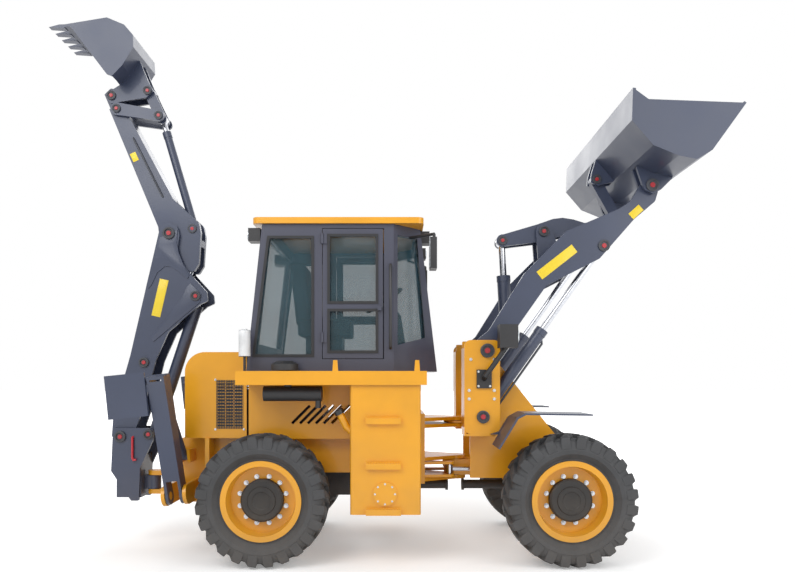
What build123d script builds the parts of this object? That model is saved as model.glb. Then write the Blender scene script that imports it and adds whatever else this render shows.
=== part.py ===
from build123d import *
import os
from math import hypot

# Backhoe loader, articulated in the middle, loader at the front (+X), backhoe at the rear.
# Millimetres, +Z up, right side at -Y, floor at Z = 0, origin under the middle of the machine.

# Clearances
fit = 0.3            # round running fits and bores
seat = 0.5           # a stub's end from the plate beside it
run = 5.0            # free moving faces
gland_lip = 4        # a ram's gland over its barrel

# Wheels and axles
tyre_od = 1180
tyre_width = 410
bead_r = 316
flange_r = 357
rim_width = 330
rim_wall = 15
disc_y = 45          # outer face of the rim's disc, outboard of the wheel's middle
hub_r = 187
hub_out = 110        # hub's end, outboard of the wheel's middle
track = 1670
rear_axle_x = -988
wheelbase = 2738
axle_z = tyre_od / 2
front_axle_x = rear_axle_x + wheelbase
axle_r = 105
shaft_flange_r = 60
diff_r = 215
front_diff_r = 150   # the front housing, under the loader's rocker
diff_width = 260
drive_r = 45
shaft_joint = 70     # each drive shaft's flange from the pivot
spindle_y = 640      # end of the axle's arm, against the wheel's hub
rail_bottom = 760    # seats of the rear axle on its frame
front_frame_bottom = 703

# Articulation
pivot_x = 800
pivot_boss_r = 110
pivot_pin_r = 45
hinge_wall_x = 480
upper_hinge = (1184, 1286)
lower_hinge = (661, 897)
hinge_plate = 36
hinge_half = 300
steer_lug = (730, 245)
steer_base_x = 1500
steer_pin_r = 20
steer_lug_r = 45

# Rear frame, hood and deck
rail_y = (330, 370)
rail_top = 1100
rail_rear_x = -1600
hood_x = (-1800, -1215)
hood_half = 525
hood_z = (1107, 1922)
hood_radius = 190
grille_x = (-1494, -1255)
grille_z = (1203, 1648)
slot_pitch = 30
panel_x = (-1195, -230)
sheet = 12
deck_x = (-1204, 470)
deck_half = 1030
deck_z = (1615, 1737)
deck_front_x = 440
tank_x = (-203, 419)
tank_y = (600, 1000)
tank_z = (475, 1615)
step_x = (-63, 244)
step_depth = 40

# Cab
cab_half = 760
cab_floor = deck_z[1]
cab_top = 3083
cab_rear_x = (-1168, -1022)
cab_corner_x = 178
cab_front_x = (600, 430)
cab_wall = 60
roof_x = (-1108, 454)
roof_half = 790
roof_top = 3138
door_x = (-475, 91)
door_z = (1849, 3044)
door_gap = 6
latch_gap = 10
glass = 8
lower_pane_height = 380
side_window = [(-1095, 1880), (-560, 1880), (-560, 2960), (-965, 2960)]
quarter_window = [(215, 1980), (480, 2060), (400, 2990), (215, 2990)]
rear_window = ((-600, 600), (1990, 2980))
front_window = ((-280, 280), (1990, 2990))

# Loader
arm_y = (515, 565)
arm_pivot = (1055, 1932)
lift_base = (1015, 1312)
lift_eye = (2158, 2921)
lift_y = 445
bucket_pin = (2597, 3479)
rocker_pivot = (1692, 3154)
rocker_rear = (1281, 3070)
rocker_front = (2488, 3236)
tilt_base = (1335, 2100)
link_pin = (2235, 3690)
tower_x = (840, 1174)
tower_y = (575, 600)
tower_top = 2032
tower_pin_r = 45
shelf_z = (1131, 1152)
shelf_front_x = 1130
frame_y = (320, 345)
loader_width = 2250
loader_wall = 25

# Backhoe
king_x = -2270
king_r = 38
boom_foot = (-2552, 1090)
boom_top = (-2078, 3129)
boom_ram_base = (-2272, 1113)
boom_ram_eye = (-1812, 2499)
dipper_ram_base = (-2330, 1832)
dipper_ram_eye = (-1875, 2832)
bucket_ram_base = (-1855, 3183)
dig_pin = (-2680, 4535)
guide_pin = (-2608, 4384)
link_elbow = (-2186, 4315)
ear_pin = (-2315, 4584)
boom_y = (115, 140)
cheek_y = (150, 178)
dipper_half = 108
dig_width = 600

# Stabilisers
leg_pivot = (800, 615)       # Y and Z of the leg's pin, which runs along X
leg_foot = (985, 1700)
leg_x = (-1866, -1714)
leg_lean = 5.8               # degrees that the leg's plane leans back
leg_plate = 25
leg_half = 75                # half the leg's depth at its pin
leg_hub_r = 80
leg_pin_r = 38
stab_base = (480, 930)
stab_eye_along = 1000        # the ram's eye, along the leg and inboard of its line
stab_eye_in = 60
stab_pin_r = 24
pad_pin = (985, 1655)
pad_pin_r = 25
pad_x = (-2225, -1877)
pad_z = (1359, 1740)
pad_t = 30


def block(x, y, z):
    """A box between its low and high faces along each axis."""
    sizes = [high - low for low, high in (x, y, z)]
    middle = [(high + low) / 2 for low, high in (x, y, z)]
    return Pos(*middle) * Box(*sizes)


def plate(outline, y, radius=0):
    """A plate with its outline in X and Z between two Y faces, its corners rounded."""
    corners = [(px, y[0], pz) for px, pz in outline]
    edge = FilletPolyline(*corners, radius=radius, close=True) if radius else Polyline(*corners, close=True)
    return extrude(make_face(edge), amount=y[1] - y[0], dir=(0, 1, 0))


def level(outline, z, radius=0):
    """A plate with its outline in X and Y between two Z faces."""
    corners = [(px, py, z[0]) for px, py in outline]
    edge = FilletPolyline(*corners, radius=radius, close=True) if radius else Polyline(*corners, close=True)
    return extrude(make_face(edge), amount=z[1] - z[0], dir=(0, 0, 1))


def upright(outline, x):
    """A plate with its outline in Y and Z between two X faces."""
    edge = Polyline(*[(x[0], py, pz) for py, pz in outline], close=True)
    return extrude(make_face(edge), amount=x[1] - x[0], dir=(1, 0, 0))


def pin(centre, radius, y):
    """A round bar along Y through a point in X and Z."""
    return Pos(centre[0], (y[0] + y[1]) / 2, centre[1]) * Rot(90, 0, 0) * Cylinder(radius, y[1] - y[0])


def post(x, y, radius, z):
    """A round bar along Z."""
    return Pos(x, y, (z[0] + z[1]) / 2) * Cylinder(radius, z[1] - z[0])


def bar(start, end, radius):
    """A round bar between two points."""
    run_along = Vector(*end) - Vector(*start)
    return extrude(Plane(Vector(*start), z_dir=run_along) * Circle(radius), run_along.length)


def both(piece):
    """A right-hand piece and its mirror image on the left."""
    return piece + mirror(piece, Plane.XZ)


def link_plate(ends, radii, y):
    """A straight link: two round ends and the tangent sides between them."""
    (ax, az), (bx, bz) = ends
    length = hypot(bx - ax, bz - az)
    ux, uz = (bx - ax) / length, (bz - az) / length
    lean = (radii[0] - radii[1]) / length
    rise = (1 - lean * lean) ** 0.5
    sides = []
    for side in (1, -1):
        nx, nz = lean * ux - side * rise * uz, lean * uz + side * rise * ux
        edge = [(ax + radii[0] * nx, az + radii[0] * nz), (bx + radii[1] * nx, bz + radii[1] * nz)]
        sides += edge if side == 1 else edge[::-1]
    return plate(sides, y) + pin(ends[0], radii[0], y) + pin(ends[1], radii[1], y)


def ram(base, eye, pin_dir, barrel_r, rod_r, closed, ring_r, ring_width, pin_r, stub_width):
    """A hydraulic ram as barrel and rod, with its rings' bores along pin_dir."""
    base, eye = Vector(*base), Vector(*eye)
    length = (eye - base).length
    frame = Plane(base, x_dir=eye - base, z_dir=pin_dir)
    gland = closed - ring_r - 10
    back = ring_r + 10
    tail = back + 4 + length - closed
    barrel = Cylinder(ring_r, ring_width)
    barrel += Pos(gland / 2, 0, 0) * Rot(0, 90, 0) * Cylinder(barrel_r, gland)
    barrel += Pos(gland - 30, 0, 0) * Rot(0, 90, 0) * Cylinder(barrel_r + gland_lip, 60)
    barrel -= Pos((back + gland) / 2, 0, 0) * Rot(0, 90, 0) * Cylinder(rod_r + fit, gland - back)
    barrel -= Cylinder(pin_r + fit, 4 * barrel_r)
    rod = Pos((tail + length) / 2, 0, 0) * Rot(0, 90, 0) * Cylinder(rod_r, length - tail)
    rod += Pos(length, 0, 0) * Cylinder(ring_r, ring_width)
    rod += Pos(length, 0, 0) * Cylinder(pin_r, stub_width)
    return frame * barrel, frame * rod


nodes = {}

# Wheels, each a tyre and a rim with its planetary hub


def wheel(x, side):
    """Tyre and rim of one wheel, turned about the axle's line."""
    half = tyre_width / 2
    bead = rim_width / 2 - rim_wall
    crown_r = tyre_od / 2
    section = [(bead_r, -bead), (flange_r + 6, -bead), (bead_r + 130, -half), (crown_r - 40, -half + 6),
               (crown_r, -half + 45), (crown_r, half - 45), (crown_r - 40, half - 6), (bead_r + 130, half),
               (flange_r + 6, bead), (bead_r, bead)]
    tyre = revolve(make_face(Polyline(*[(r, 0, y) for r, y in section], close=True)), Axis.Z)
    barrel_r = bead_r - fit
    out = rim_width / 2
    rim_section = [(0, spindle_y - track / 2 + fit), (hub_r - 30, spindle_y - track / 2 + fit),
                   (hub_r - 30, disc_y - 25), (barrel_r - 40, disc_y - 25), (barrel_r - 22, -out + 30),
                   (barrel_r - 8, -out), (flange_r, -out), (flange_r, -bead - fit), (barrel_r, -bead - fit),
                   (barrel_r, bead + fit), (flange_r, bead + fit), (flange_r, out), (barrel_r - 8, out),
                   (barrel_r - 26, disc_y), (hub_r, disc_y), (hub_r, hub_out - 25), (hub_r - 20, hub_out),
                   (0, hub_out)]
    rim = revolve(make_face(Polyline(*[(r, 0, y) for r, y in rim_section], close=True)), Axis.Z)
    place = Pos(x, side * track / 2, axle_z) * Rot(-90 * side, 0, 0)
    return place * tyre, place * rim


for place_name, axle_x in (("front", front_axle_x), ("rear", rear_axle_x)):
    for side_name, side in (("right", -1), ("left", 1)):
        tyre, rim = wheel(axle_x, side)
        nodes[f"tyre_{place_name}_{side_name}"] = tyre
        nodes[f"rim_{place_name}_{side_name}"] = rim


def axle(x, housing_r, top, shaft_to):
    """A drive axle: banjo housing, arms, frame seats and the stub of its drive shaft."""
    housing = Pos(x, 0, axle_z) * Rot(90, 0, 0) * Cylinder(axle_r, 2 * spindle_y)
    housing += Pos(x, 0, axle_z) * Rot(90, 0, 0) * Cylinder(housing_r, diff_width)
    housing += bar((x, 0, axle_z), (shaft_to, 0, axle_z), drive_r)
    flange = 24 if shaft_to > x else -24
    housing += bar((shaft_to - flange, 0, axle_z), (shaft_to, 0, axle_z), shaft_flange_r)
    for side in (-1, 1):
        middle = side * (rail_y[0] + rail_y[1]) / 2
        housing += block((x - 110, x + 110), (middle - 60, middle + 60), (axle_z, top))
    return housing


nodes["rear_axle"] = axle(rear_axle_x, diff_r, rail_bottom, rear_axle_x + 320)
nodes["front_axle"] = axle(front_axle_x, front_diff_r, front_frame_bottom, pivot_x + shaft_joint)

# Rear frame: side rails, cross walls and the double hinge plates of the articulation

hinge_bottom = lower_hinge[0] - 10
rails = both(block((rail_rear_x, hinge_wall_x), (-rail_y[1], -rail_y[0]), (rail_bottom, rail_top)))
chassis = rails + block((hinge_wall_x - 40, hinge_wall_x), (-rail_y[1], rail_y[1]), (hinge_bottom, 1330))
chassis += block((rail_rear_x, rail_rear_x + 40), (-560, 560), (500, hood_z[0]))
hinge_outline = [(hinge_wall_x - 10, -hinge_half), (pivot_x, -pivot_boss_r), (pivot_x, pivot_boss_r),
                 (hinge_wall_x - 10, hinge_half)]
for low, high in (upper_hinge, lower_hinge):
    for z in ((low, low + hinge_plate), (high - hinge_plate, high)):
        chassis += level(hinge_outline, z) + post(pivot_x, 0, pivot_boss_r, z)
    chassis += post(pivot_x, 0, pivot_pin_r, (low, high))
steer_z = (lower_hinge[0] + lower_hinge[1]) / 2
lug_outline = [(hinge_wall_x - 10, -320), (steer_lug[0], -steer_lug[1] - steer_lug_r),
               (steer_lug[0], -steer_lug[1] + steer_lug_r), (hinge_wall_x - 10, -190)]
for z in ((steer_z - 75, steer_z - 50), (steer_z + 50, steer_z + 75)):
    chassis += both(level(lug_outline, z) + post(steer_lug[0], -steer_lug[1], steer_lug_r, z))
nodes["rear_chassis"] = chassis

# Engine and gearbox as plain masses, with the drive shafts that show from below

engine_y = 290
engine = block((-1560, -520), (-engine_y, engine_y), (860, 1560))
gearbox = block((-520, 120), (-240, 240), (520, 1180))
shafts = bar((120, 0, axle_z), (pivot_x - shaft_joint, 0, axle_z), drive_r)
shafts += bar((pivot_x - shaft_joint - 24, 0, axle_z), (pivot_x - shaft_joint, 0, axle_z), shaft_flange_r)
rear_flange_x = rear_axle_x + 320
shafts += bar((-520, 0, axle_z), (rear_flange_x + 10, 0, axle_z), drive_r)
cradle = block((-560, -480), (-rail_y[0], rail_y[0]), (900, 960))
cradle += block((-1400, -1320), (-rail_y[0], rail_y[0]), (900, 960))
nodes["powertrain"] = engine + gearbox + shafts + cradle

# Hood over the engine, with its grilles, and the louvred side panels under the deck


def hood_shell(inset, bottom):
    """The hood's outer form, drawn in by a wall's thickness."""
    x0, x1, top = hood_x[0] + inset, hood_x[1], hood_z[1] - inset
    corner = hood_radius - inset
    profile = Polyline((x0, bottom), (x1, bottom), (x1, top), (x0 + corner, top))
    profile += CenterArc((x0 + corner, top - corner), corner, 90, 90)
    profile += Line((x0, top - corner), (x0, bottom))
    face = Plane.XZ * make_face(profile)
    return extrude(face, amount=hood_half - inset, both=True)


hood = hood_shell(0, hood_z[0]) - hood_shell(sheet, hood_z[0] - 10)
opening = block(grille_x, (-hood_half - 5, -hood_half + sheet + 5), grille_z)
hood -= both(opening)
bars = [block(grille_x, (-hood_half, -hood_half + 8), (z, z + 14))
        for z in range(grille_z[0], grille_z[1] - 14, slot_pitch)]
hood += both(Part() + bars + [block((x - 6, x + 6), (-hood_half, -hood_half + 8), grille_z)
                              for x in (grille_x[0] + 80, grille_x[1] - 80)])
panel = block(panel_x, (-hood_half, -hood_half + sheet), (rail_top, deck_z[0]))
for i in range(6):
    slot = Pos(-700 + 75 * i, -hood_half, 1330) * Rot(0, -45, 0) * Box(240, 4 * sheet, 26)
    panel -= slot
hood_panels = both(panel)
shelf = both(block(panel_x, (-hood_half, -rail_y[1]), (rail_top, rail_top + sheet)))
nodes["hood"] = hood + (hood_panels + shelf)

# Air intake: cleaner under the deck's edge, pre-cleaner and canister above it

cleaner_axis = (-cab_half - 90, 1536)
cleaner = bar((-987, cleaner_axis[0], cleaner_axis[1]), (-465, cleaner_axis[0], cleaner_axis[1]), 68)
cleaner += block((-800, -740), (cleaner_axis[0] - 30, cleaner_axis[0] + 30),
                 (cleaner_axis[1], deck_z[1] - sheet))
cleaner += bar((-500, cleaner_axis[0], cleaner_axis[1]), (-500, cleaner_axis[0], cleaner_axis[1] - 130), 26)
cap_z = (deck_z[1] + 8, deck_z[1] + 63)
cap_r = 120
mushroom_y = -cab_half - cap_r
mushroom = post(-794, mushroom_y, 45, (deck_z[1], cap_z[1] - 10)) + post(-794, mushroom_y, cap_r, cap_z)
mushroom += Pos(-794, mushroom_y, cap_z[1]) * Cone(cap_r, 70, 28, align=(Align.CENTER, Align.CENTER, Align.MIN))
canister_z = (deck_z[1] + 129, deck_z[1] + 365)
canister_y = -(cab_half + deck_half) / 2 - 5
canister = post(-1150, canister_y, 12, (deck_z[1], canister_z[0] + 4)) + post(-1150, canister_y, 50, canister_z)
nodes["intake"] = Part() + [cleaner, mushroom, canister]

# Deck with its edge beams and lifting lugs, and the tanks with their steps

deck = block(deck_x, (-deck_half, -cab_half), (deck_z[1] - sheet, deck_z[1]))
deck += block(deck_x, (-deck_half, -deck_half + sheet), deck_z)
deck += block((deck_x[0], deck_x[0] + sheet), (-deck_half, -hood_half - 20), deck_z)
deck += block((deck_x[1] - sheet, deck_x[1]), (-deck_half, -620), deck_z)
deck += block((panel_x[0], deck_front_x), (-cab_half, 0), (deck_z[1] - 2 * sheet, deck_z[1]))
deck += block((deck_front_x - 60, deck_front_x), (-620, 0), deck_z)
for lug_x in (-330, 385):
    deck += plate([(lug_x - 25, deck_z[1] - 5), (lug_x + 25, deck_z[1] - 5), (lug_x + 18, deck_z[1] + 95),
                   (lug_x - 18, deck_z[1] + 95)], (-deck_half, -deck_half + sheet))
deck += block((deck_front_x - 60, deck_front_x - 60 + sheet), (-rail_y[1], 0), (1330, deck_z[0] + 5))
deck += block((-1180, -1100), (-hood_half + sheet, 0), (1580, deck_z[1]))
tank = block(tank_x, (-tank_y[1], -tank_y[0]), (tank_z[0], deck_z[1] - sheet))
tank = fillet(tank.edges().filter_by(Axis.Z), 25)
for z in (1273, 878, 466 + 9):
    step = block(step_x, (-tank_y[1] - step_depth, -tank_y[1] + 5), (z, z + 52))
    tank += step
tank += pin((104, 659), 105, (-tank_y[1] - 14, -tank_y[1] + 5))
tank += block((tank_x[0] + 40, tank_x[1] - 40), (-tank_y[0] - 5, -rail_y[1]), (900, 1080))
nodes["platform"] = both(deck) + both(tank)

# Cab: a hollow shell with a faceted front, its posts left standing between the windows


def cab_form(inset):
    """The cab's outer form, or its inside when drawn in by a wall."""
    bottom, top = cab_floor + inset, cab_top + (inset and 5)
    half = cab_half - inset
    lean_rear = (cab_rear_x[1] - cab_rear_x[0]) / (cab_top - cab_floor)
    lean_front = (cab_front_x[1] - cab_front_x[0]) / (cab_top - cab_floor)
    rear = [cab_rear_x[0] + inset + lean_rear * (z - cab_floor) for z in (bottom, top)]
    front = [cab_front_x[0] - inset + lean_front * (z - cab_floor) for z in (bottom, top)]
    side = plate([(rear[0], bottom), (front[0], bottom), (front[1], top), (rear[1], top)], (-half, half))
    nose = half - (cab_front_x[0] - cab_corner_x)
    plan = level([(-2000, -half), (cab_corner_x - 0.4 * inset, -half), (cab_front_x[0] - 0.4 * inset, -nose),
                  (cab_front_x[0] - 0.4 * inset, nose), (cab_corner_x - 0.4 * inset, half), (-2000, half)],
                 (bottom, top))
    return side & plan


def window_cuts(shrink):
    """The windows' openings, as prisms that pass through the walls."""
    def inner(outline):
        middle_x = sum(x for x, z in outline) / len(outline)
        middle_z = sum(z for x, z in outline) / len(outline)
        return [(x - shrink if x > middle_x else x + shrink, z - shrink if z > middle_z else z + shrink)
                for x, z in outline]
    sides = plate(inner(side_window), (-cab_half - 40, -cab_half + 120), 25)
    quarter = plate(inner(quarter_window), (-cab_half - 40, -260))
    (ya, yb), (za, zb) = rear_window
    rear = block((-1300, -900), (ya + shrink, yb - shrink), (za + shrink, zb - shrink))
    (ya, yb), (za, zb) = front_window
    front = block((380, 700), (ya + shrink, yb - shrink), (za + shrink, zb - shrink))
    return both(sides), both(quarter), rear, front


door_cut = block(door_x, (-cab_half - 40, -cab_half + 120), (door_z[0], door_z[1]))
cab = cab_form(0) - cab_form(cab_wall)
for cut in window_cuts(0):
    cab -= cut
cab -= both(door_cut)
nodes["cab_shell"] = cab

glass_skin = cab_form(cab_wall / 2) - cab_form(cab_wall / 2 + glass)
panes = [glass_skin & cut for cut in window_cuts(fit)]
nodes["cab_glass"] = Part() + [solid for pane in panes for solid in pane.solids()]

roof = block(roof_x, (-roof_half, roof_half), (cab_top + fit, roof_top))
roof = fillet(roof.edges().filter_by(Axis.Z), 60)
eye_y, eye_rise, eye_bore_r = (-560, -545), 30, 10
for eye_x in (-985, 60):
    roof += both(plate([(eye_x - 22, roof_top - 5), (eye_x + 22, roof_top - 5), (eye_x + 14, roof_top + 50),
                        (eye_x - 14, roof_top + 50)], eye_y))
    roof -= both(pin((eye_x, roof_top + eye_rise), eye_bore_r, (eye_y[0] - 5, eye_y[1] + 5)))
nodes["cab_roof"] = roof

# Doors, hinged at their rear edges, each with an upper and a lower pane

door_wall = (cab_half - cab_wall, cab_half)
leaf_x = (door_x[0] + door_gap, door_x[1] - latch_gap)
leaf_z = (door_z[0] + door_gap, door_z[1] - door_gap)
pane_x = (leaf_x[0] + 55, leaf_x[1] - 55)
pane_split = leaf_z[0] + 60 + lower_pane_height + 35
upper_pane = (pane_split + 35, leaf_z[1] - 60)
lower_pane = (leaf_z[0] + 60, leaf_z[0] + 60 + lower_pane_height)
leaf = block(leaf_x, (-door_wall[1], -door_wall[0]), leaf_z)
for pane in (upper_pane, lower_pane):
    leaf -= block(pane_x, (-door_wall[1] - 5, -door_wall[0] + 5), pane)
leaf += block((leaf_x[1] - 48, leaf_x[1] - 12), (-door_wall[1] - 40, -door_wall[1] + 5),
              (pane_split - 40, pane_split))
hinge_r = 14
for z in (2000, 2900):
    leaf += post(leaf_x[0] - 3, -door_wall[1] - hinge_r - seat, hinge_r, (z, z + 90))
    leaf += block((leaf_x[0] - 3, leaf_x[0] + 40), (-door_wall[1] - 12, -door_wall[1] + 3), (z, z + 90))
panes = Part() + [block((pane_x[0] + fit, pane_x[1] - fit), (-cab_half + 26, -cab_half + 26 + glass),
                        (pane[0] + fit, pane[1] - fit)) for pane in (upper_pane, lower_pane)]
nodes["door_right"] = leaf
nodes["door_left"] = mirror(leaf, Plane.XZ)
nodes["door_glass_right"] = panes
nodes["door_glass_left"] = mirror(panes, Plane.XZ)

# Inside the cab: seat on its base, console, steering column and wheel

floor_top = cab_floor + cab_wall
seat_x = -520
interior = block((seat_x - 180, seat_x + 180), (-180, 180), (floor_top, 2120))
interior += block((seat_x - 240, seat_x + 260), (-250, 250), (2100, 2230))
seat_back = [(seat_x - 250, 2200), (seat_x - 130, 2200), (seat_x - 210, 2800), (seat_x - 310, 2800)]
interior += plate(seat_back, (-240, 240))
column = plate([(130, floor_top), (330, floor_top), (250, 2300), (160, 2420), (110, 2420)], (-130, 130))
wheel_plane = Plane((80, 0, 2470), x_dir=(0, 1, 0), z_dir=(-0.55, 0, 0.83))
steering = wheel_plane * (Torus(205, 16) + Box(400, 36, 14) + Box(36, 400, 14))
steering += bar((150, 0, 2364), (80, 0, 2470), 28)
nodes["cab_interior"] = Part() + [interior, column + steering]

# Lamps and mirrors on the cab

rear_lamp = block((-1154, -1044), (-740, -610), (2930, 3050))
lamps = both(rear_lamp + bar((-1100, -675, 2990), (-1010, -675, 2990), 18))
mirror_y = -900
arm = bar((300, -560, 2990), (540, mirror_y, 2960), 14)
arm += bar((540, mirror_y, 2960), (540, mirror_y, 2700), 14)
arm += block((500, 560), (mirror_y - 100, mirror_y + 60), (2640, 2915))
beacon = post(-640, -300, 65, (roof_top, 3160)) + post(-640, -300, 58, (3160, 3225))
front_lamp = block((430, 520), (-480, -350), (2960, 3075))
fittings = [lamps, both(arm), both(front_lamp)]
nodes["cab_lamps"] = Part() + [piece - cab_form(0) for piece in fittings] + beacon

# Front frame: side plates that rise into the loader's towers, with the articulation's tongues

frame_outline = [(920, front_frame_bottom), (1870, front_frame_bottom), (1870, 900), (1794, 1073),
                 (1211, 1802), (tower_x[1], tower_top), (tower_x[0] + 5, tower_top),
                 (tower_x[0] + 5, shelf_z[0]), (920, shelf_z[0])]
tower_outline = [(tower_x[0], shelf_z[1]), (tower_x[1], shelf_z[1]), (tower_x[1], tower_top),
                 (tower_x[0], tower_top)]
side = plate(frame_outline, (-frame_y[1], -frame_y[0]), 12)
side -= pin(arm_pivot, 82, (-frame_y[1] - 5, -frame_y[0] + 5))
side += plate(tower_outline, (-tower_y[1], -tower_y[0]), 60)
side += block((tower_x[0], shelf_front_x), (-tower_y[1], -frame_y[0]), shelf_z)
side += block((tower_x[0], tower_x[0] + 20), (-tower_y[1] + 5, -frame_y[0]), (shelf_z[0], tower_top - 72))
side += pin(arm_pivot, tower_pin_r, (-tower_y[1] - 12, -arm_y[0] + 10))
side += pin(lift_base, tower_pin_r, (-tower_y[1] - 12, -frame_y[0]))
front = both(side)
front += block((1000, 1520), (-frame_y[0] - 5, frame_y[0] + 5), (front_frame_bottom, front_frame_bottom + 25))
front += block((1000, 1025), (-frame_y[0] - 5, frame_y[0] + 5), (upper_hinge[0] - 60, 1330))
front += block((1800, 1860), (-frame_y[0] - 5, frame_y[0] + 5), (830, 890))
tongue = [(pivot_x, -pivot_boss_r), (1110, -150), (1110, 150), (pivot_x, pivot_boss_r)]
for low, high in (upper_hinge, lower_hinge):
    z = (low + hinge_plate + run, high - hinge_plate - run)
    front += level(tongue, z) + post(pivot_x, 0, pivot_boss_r, z)
    front -= post(pivot_x, 0, pivot_pin_r + fit, (z[0] - 1, z[1] + 1))
front += both(post(steer_base_x, -steer_lug[1], steer_pin_r, (front_frame_bottom, steer_z + 60)))
nodes["front_chassis"] = front

# Front fenders: a flat blade bent down at the rear, on a bracket from the tower's shelf

fender_y = (640, 1035)
fender_t = 14
blade = [(1918, 1345), (1918, 1345 + fender_t), (1330, 1369), (1255, 1330), (1094, 1060), (1106, 1050),
         (1268, 1318), (1336, 1352)]
gusset = [(1080, shelf_z[1]), (1172, shelf_z[1]), (1290, 1300), (1250, 1322), (1160, 1180)]
fender = plate(blade, (-fender_y[1], -fender_y[0]))
fender += plate(gusset, (-fender_y[0] - 20, -tower_y[1] - 0.1))
nodes["front_fenders"] = both(fender)

# Headlamps on tube stalks from plates on the towers

lamp_foot = (1024, -tower_y[1] - 20, 1667)
lamp_top = (1215, -740, 1965)
headlamp = block((lamp_foot[0] - 70, lamp_foot[0] + 70), (-tower_y[1] - 20, -tower_y[1]), (1580, 1755))
headlamp += bar((lamp_foot[0], -tower_y[1] - 10, lamp_foot[2]), (lamp_foot[0], -680, lamp_foot[2] + 30), 24)
headlamp += bar((lamp_foot[0], -680, lamp_foot[2] + 20), lamp_top, 24)
headlamp += block((1135, 1300), (-850, -690), (1950, 2160))
nodes["headlamps"] = both(headlamp)

# Loader arms with their torque tube, cross tube and rocker bracket

arm_outline = [(1078, 2130), (1408, 2659), (1804, 3059), (2298, 3267), (2416, 3346), (2502, 3500),
               (2600, 3560), (2680, 3480), (2640, 3340), (2440, 3169), (2118, 2801), (1618, 2548),
               (1357, 2177), (1190, 1900), (1055, 1790), (920, 1870), (925, 2000)]
torque_r = 75
cross_tube = (1760, 2850)
cross_r = 90
bracket_y = (88, 113)
lug_y = (88, 113)
bucket_pin_r = 40
rocker_pin_r = 45
arm = plate(arm_outline, (-arm_y[1], -arm_y[0]), 45)
arm -= pin(bucket_pin, bucket_pin_r + fit, (-arm_y[1] - 5, -arm_y[0] + 5))
bracket = link_plate((cross_tube, rocker_pivot), (cross_r + 35, 80), (-bracket_y[1], -bracket_y[0]))
base_lug = link_plate((arm_pivot, tilt_base), (torque_r + 30, 75), (-lug_y[1], -lug_y[0]))
arms = both(arm + bracket + base_lug)
arms += pin(arm_pivot, torque_r, (-arm_y[0] - 5, arm_y[0] + 5))
arms += pin(cross_tube, cross_r, (-arm_y[0] - 5, arm_y[0] + 5))
arms -= both(pin(arm_pivot, tower_pin_r + fit, (-arm_y[1] - 5, -arm_y[0] + 11)))
arms += pin(rocker_pivot, rocker_pin_r, (-bracket_y[1] - 10, bracket_y[1] + 10))
tilt_pin_r = 32
arms += pin(tilt_base, tilt_pin_r, (-lug_y[1] - 10, lug_y[1] + 10))
nodes["loader_arm"] = arms

# Rocker: two plates on a hub, with the tilt rod's eye at the rear and the bucket link at the front

rocker_y = (50, 80)
rocker_end_r = 55
rocker_top = [(rocker_rear[0], rocker_rear[1] + 60), (1640, 3235), (1790, 3288), (1890, 3300), (2000, 3282),
              (2110, 3248), (rocker_front[0], rocker_front[1] + rocker_end_r)]
rocker_under = [(rocker_front[0], rocker_front[1] - rocker_end_r), (2060, 3128), (1890, 3118), (1660, 3058),
                (rocker_rear[0], rocker_rear[1] - 60)]
rocker_faces = (-rocker_y[1], -rocker_y[0])
rocker_side = plate(rocker_top + rocker_under, rocker_faces)
for eye, eye_r in ((rocker_rear, 62), (rocker_pivot, 95), (rocker_front, rocker_end_r)):
    rocker_side += pin(eye, eye_r, rocker_faces)
rocker = both(rocker_side) + pin(rocker_pivot, 80, (-rocker_y[1], rocker_y[1]))
rocker -= pin(rocker_pivot, rocker_pin_r + fit, (-rocker_y[1] - 5, rocker_y[1] + 5))
nodes["rocker"] = rocker

link_half = 42
link_pin_r = 32
link = link_plate((link_pin, rocker_front), (55, 50), (-link_half, link_half))
link -= pin(link_pin, link_pin_r + fit, (-link_half - 5, link_half + 5))
link += pin(rocker_front, link_pin_r, (-rocker_y[0] + seat, rocker_y[0] - seat))
nodes["bucket_link"] = link

# Loader bucket: a curved shell between end plates, lip, top strip, arm ears and link ears

half_width = loader_width / 2
bucket_line = [(3209, 4039), (2919, 3636), (2789, 3555), (2628, 3586), (2410, 3675), (2225, 3890),
               (2234, 4169)]
inner_line = [(3190, 4052), (2905, 3660), (2790, 3585), (2640, 3612), (2430, 3695), (2252, 3900),
              (2260, 4165)]
shell = plate(bucket_line + inner_line[::-1], (-half_width, half_width))
end_outline = bucket_line + [(2369, 4070)]
shell += both(plate(end_outline, (-half_width, -half_width + loader_wall)))
lip = [(3209, 4039), (3130, 3930), (3112, 3944), (3191, 4053)]
shell += plate(lip, (-half_width, half_width))
ear_out, ear_in = (575, 610), (470, 505)
arm_ear = [(2440, 3670), (2520, 3440), (2600, 3400), (2680, 3440), (2800, 3560), (2640, 3590)]
for y in (ear_out, ear_in):
    shell += both(plate(arm_ear, (-y[1], -y[0]), 15))
shell += both(pin(bucket_pin, bucket_pin_r, (-ear_out[1], -ear_in[0])))
link_ear_y = (50, 80)
link_ear = [(2228, 3900), (2180, 3740), (2175, 3660), (2240, 3625), (2420, 3672)]
shell += both(plate(link_ear, (-link_ear_y[1], -link_ear_y[0]), 12))
shell += pin(link_pin, link_pin_r, (-link_ear_y[1], link_ear_y[1]))
nodes["loader_bucket"] = shell

# Loader rams

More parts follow.
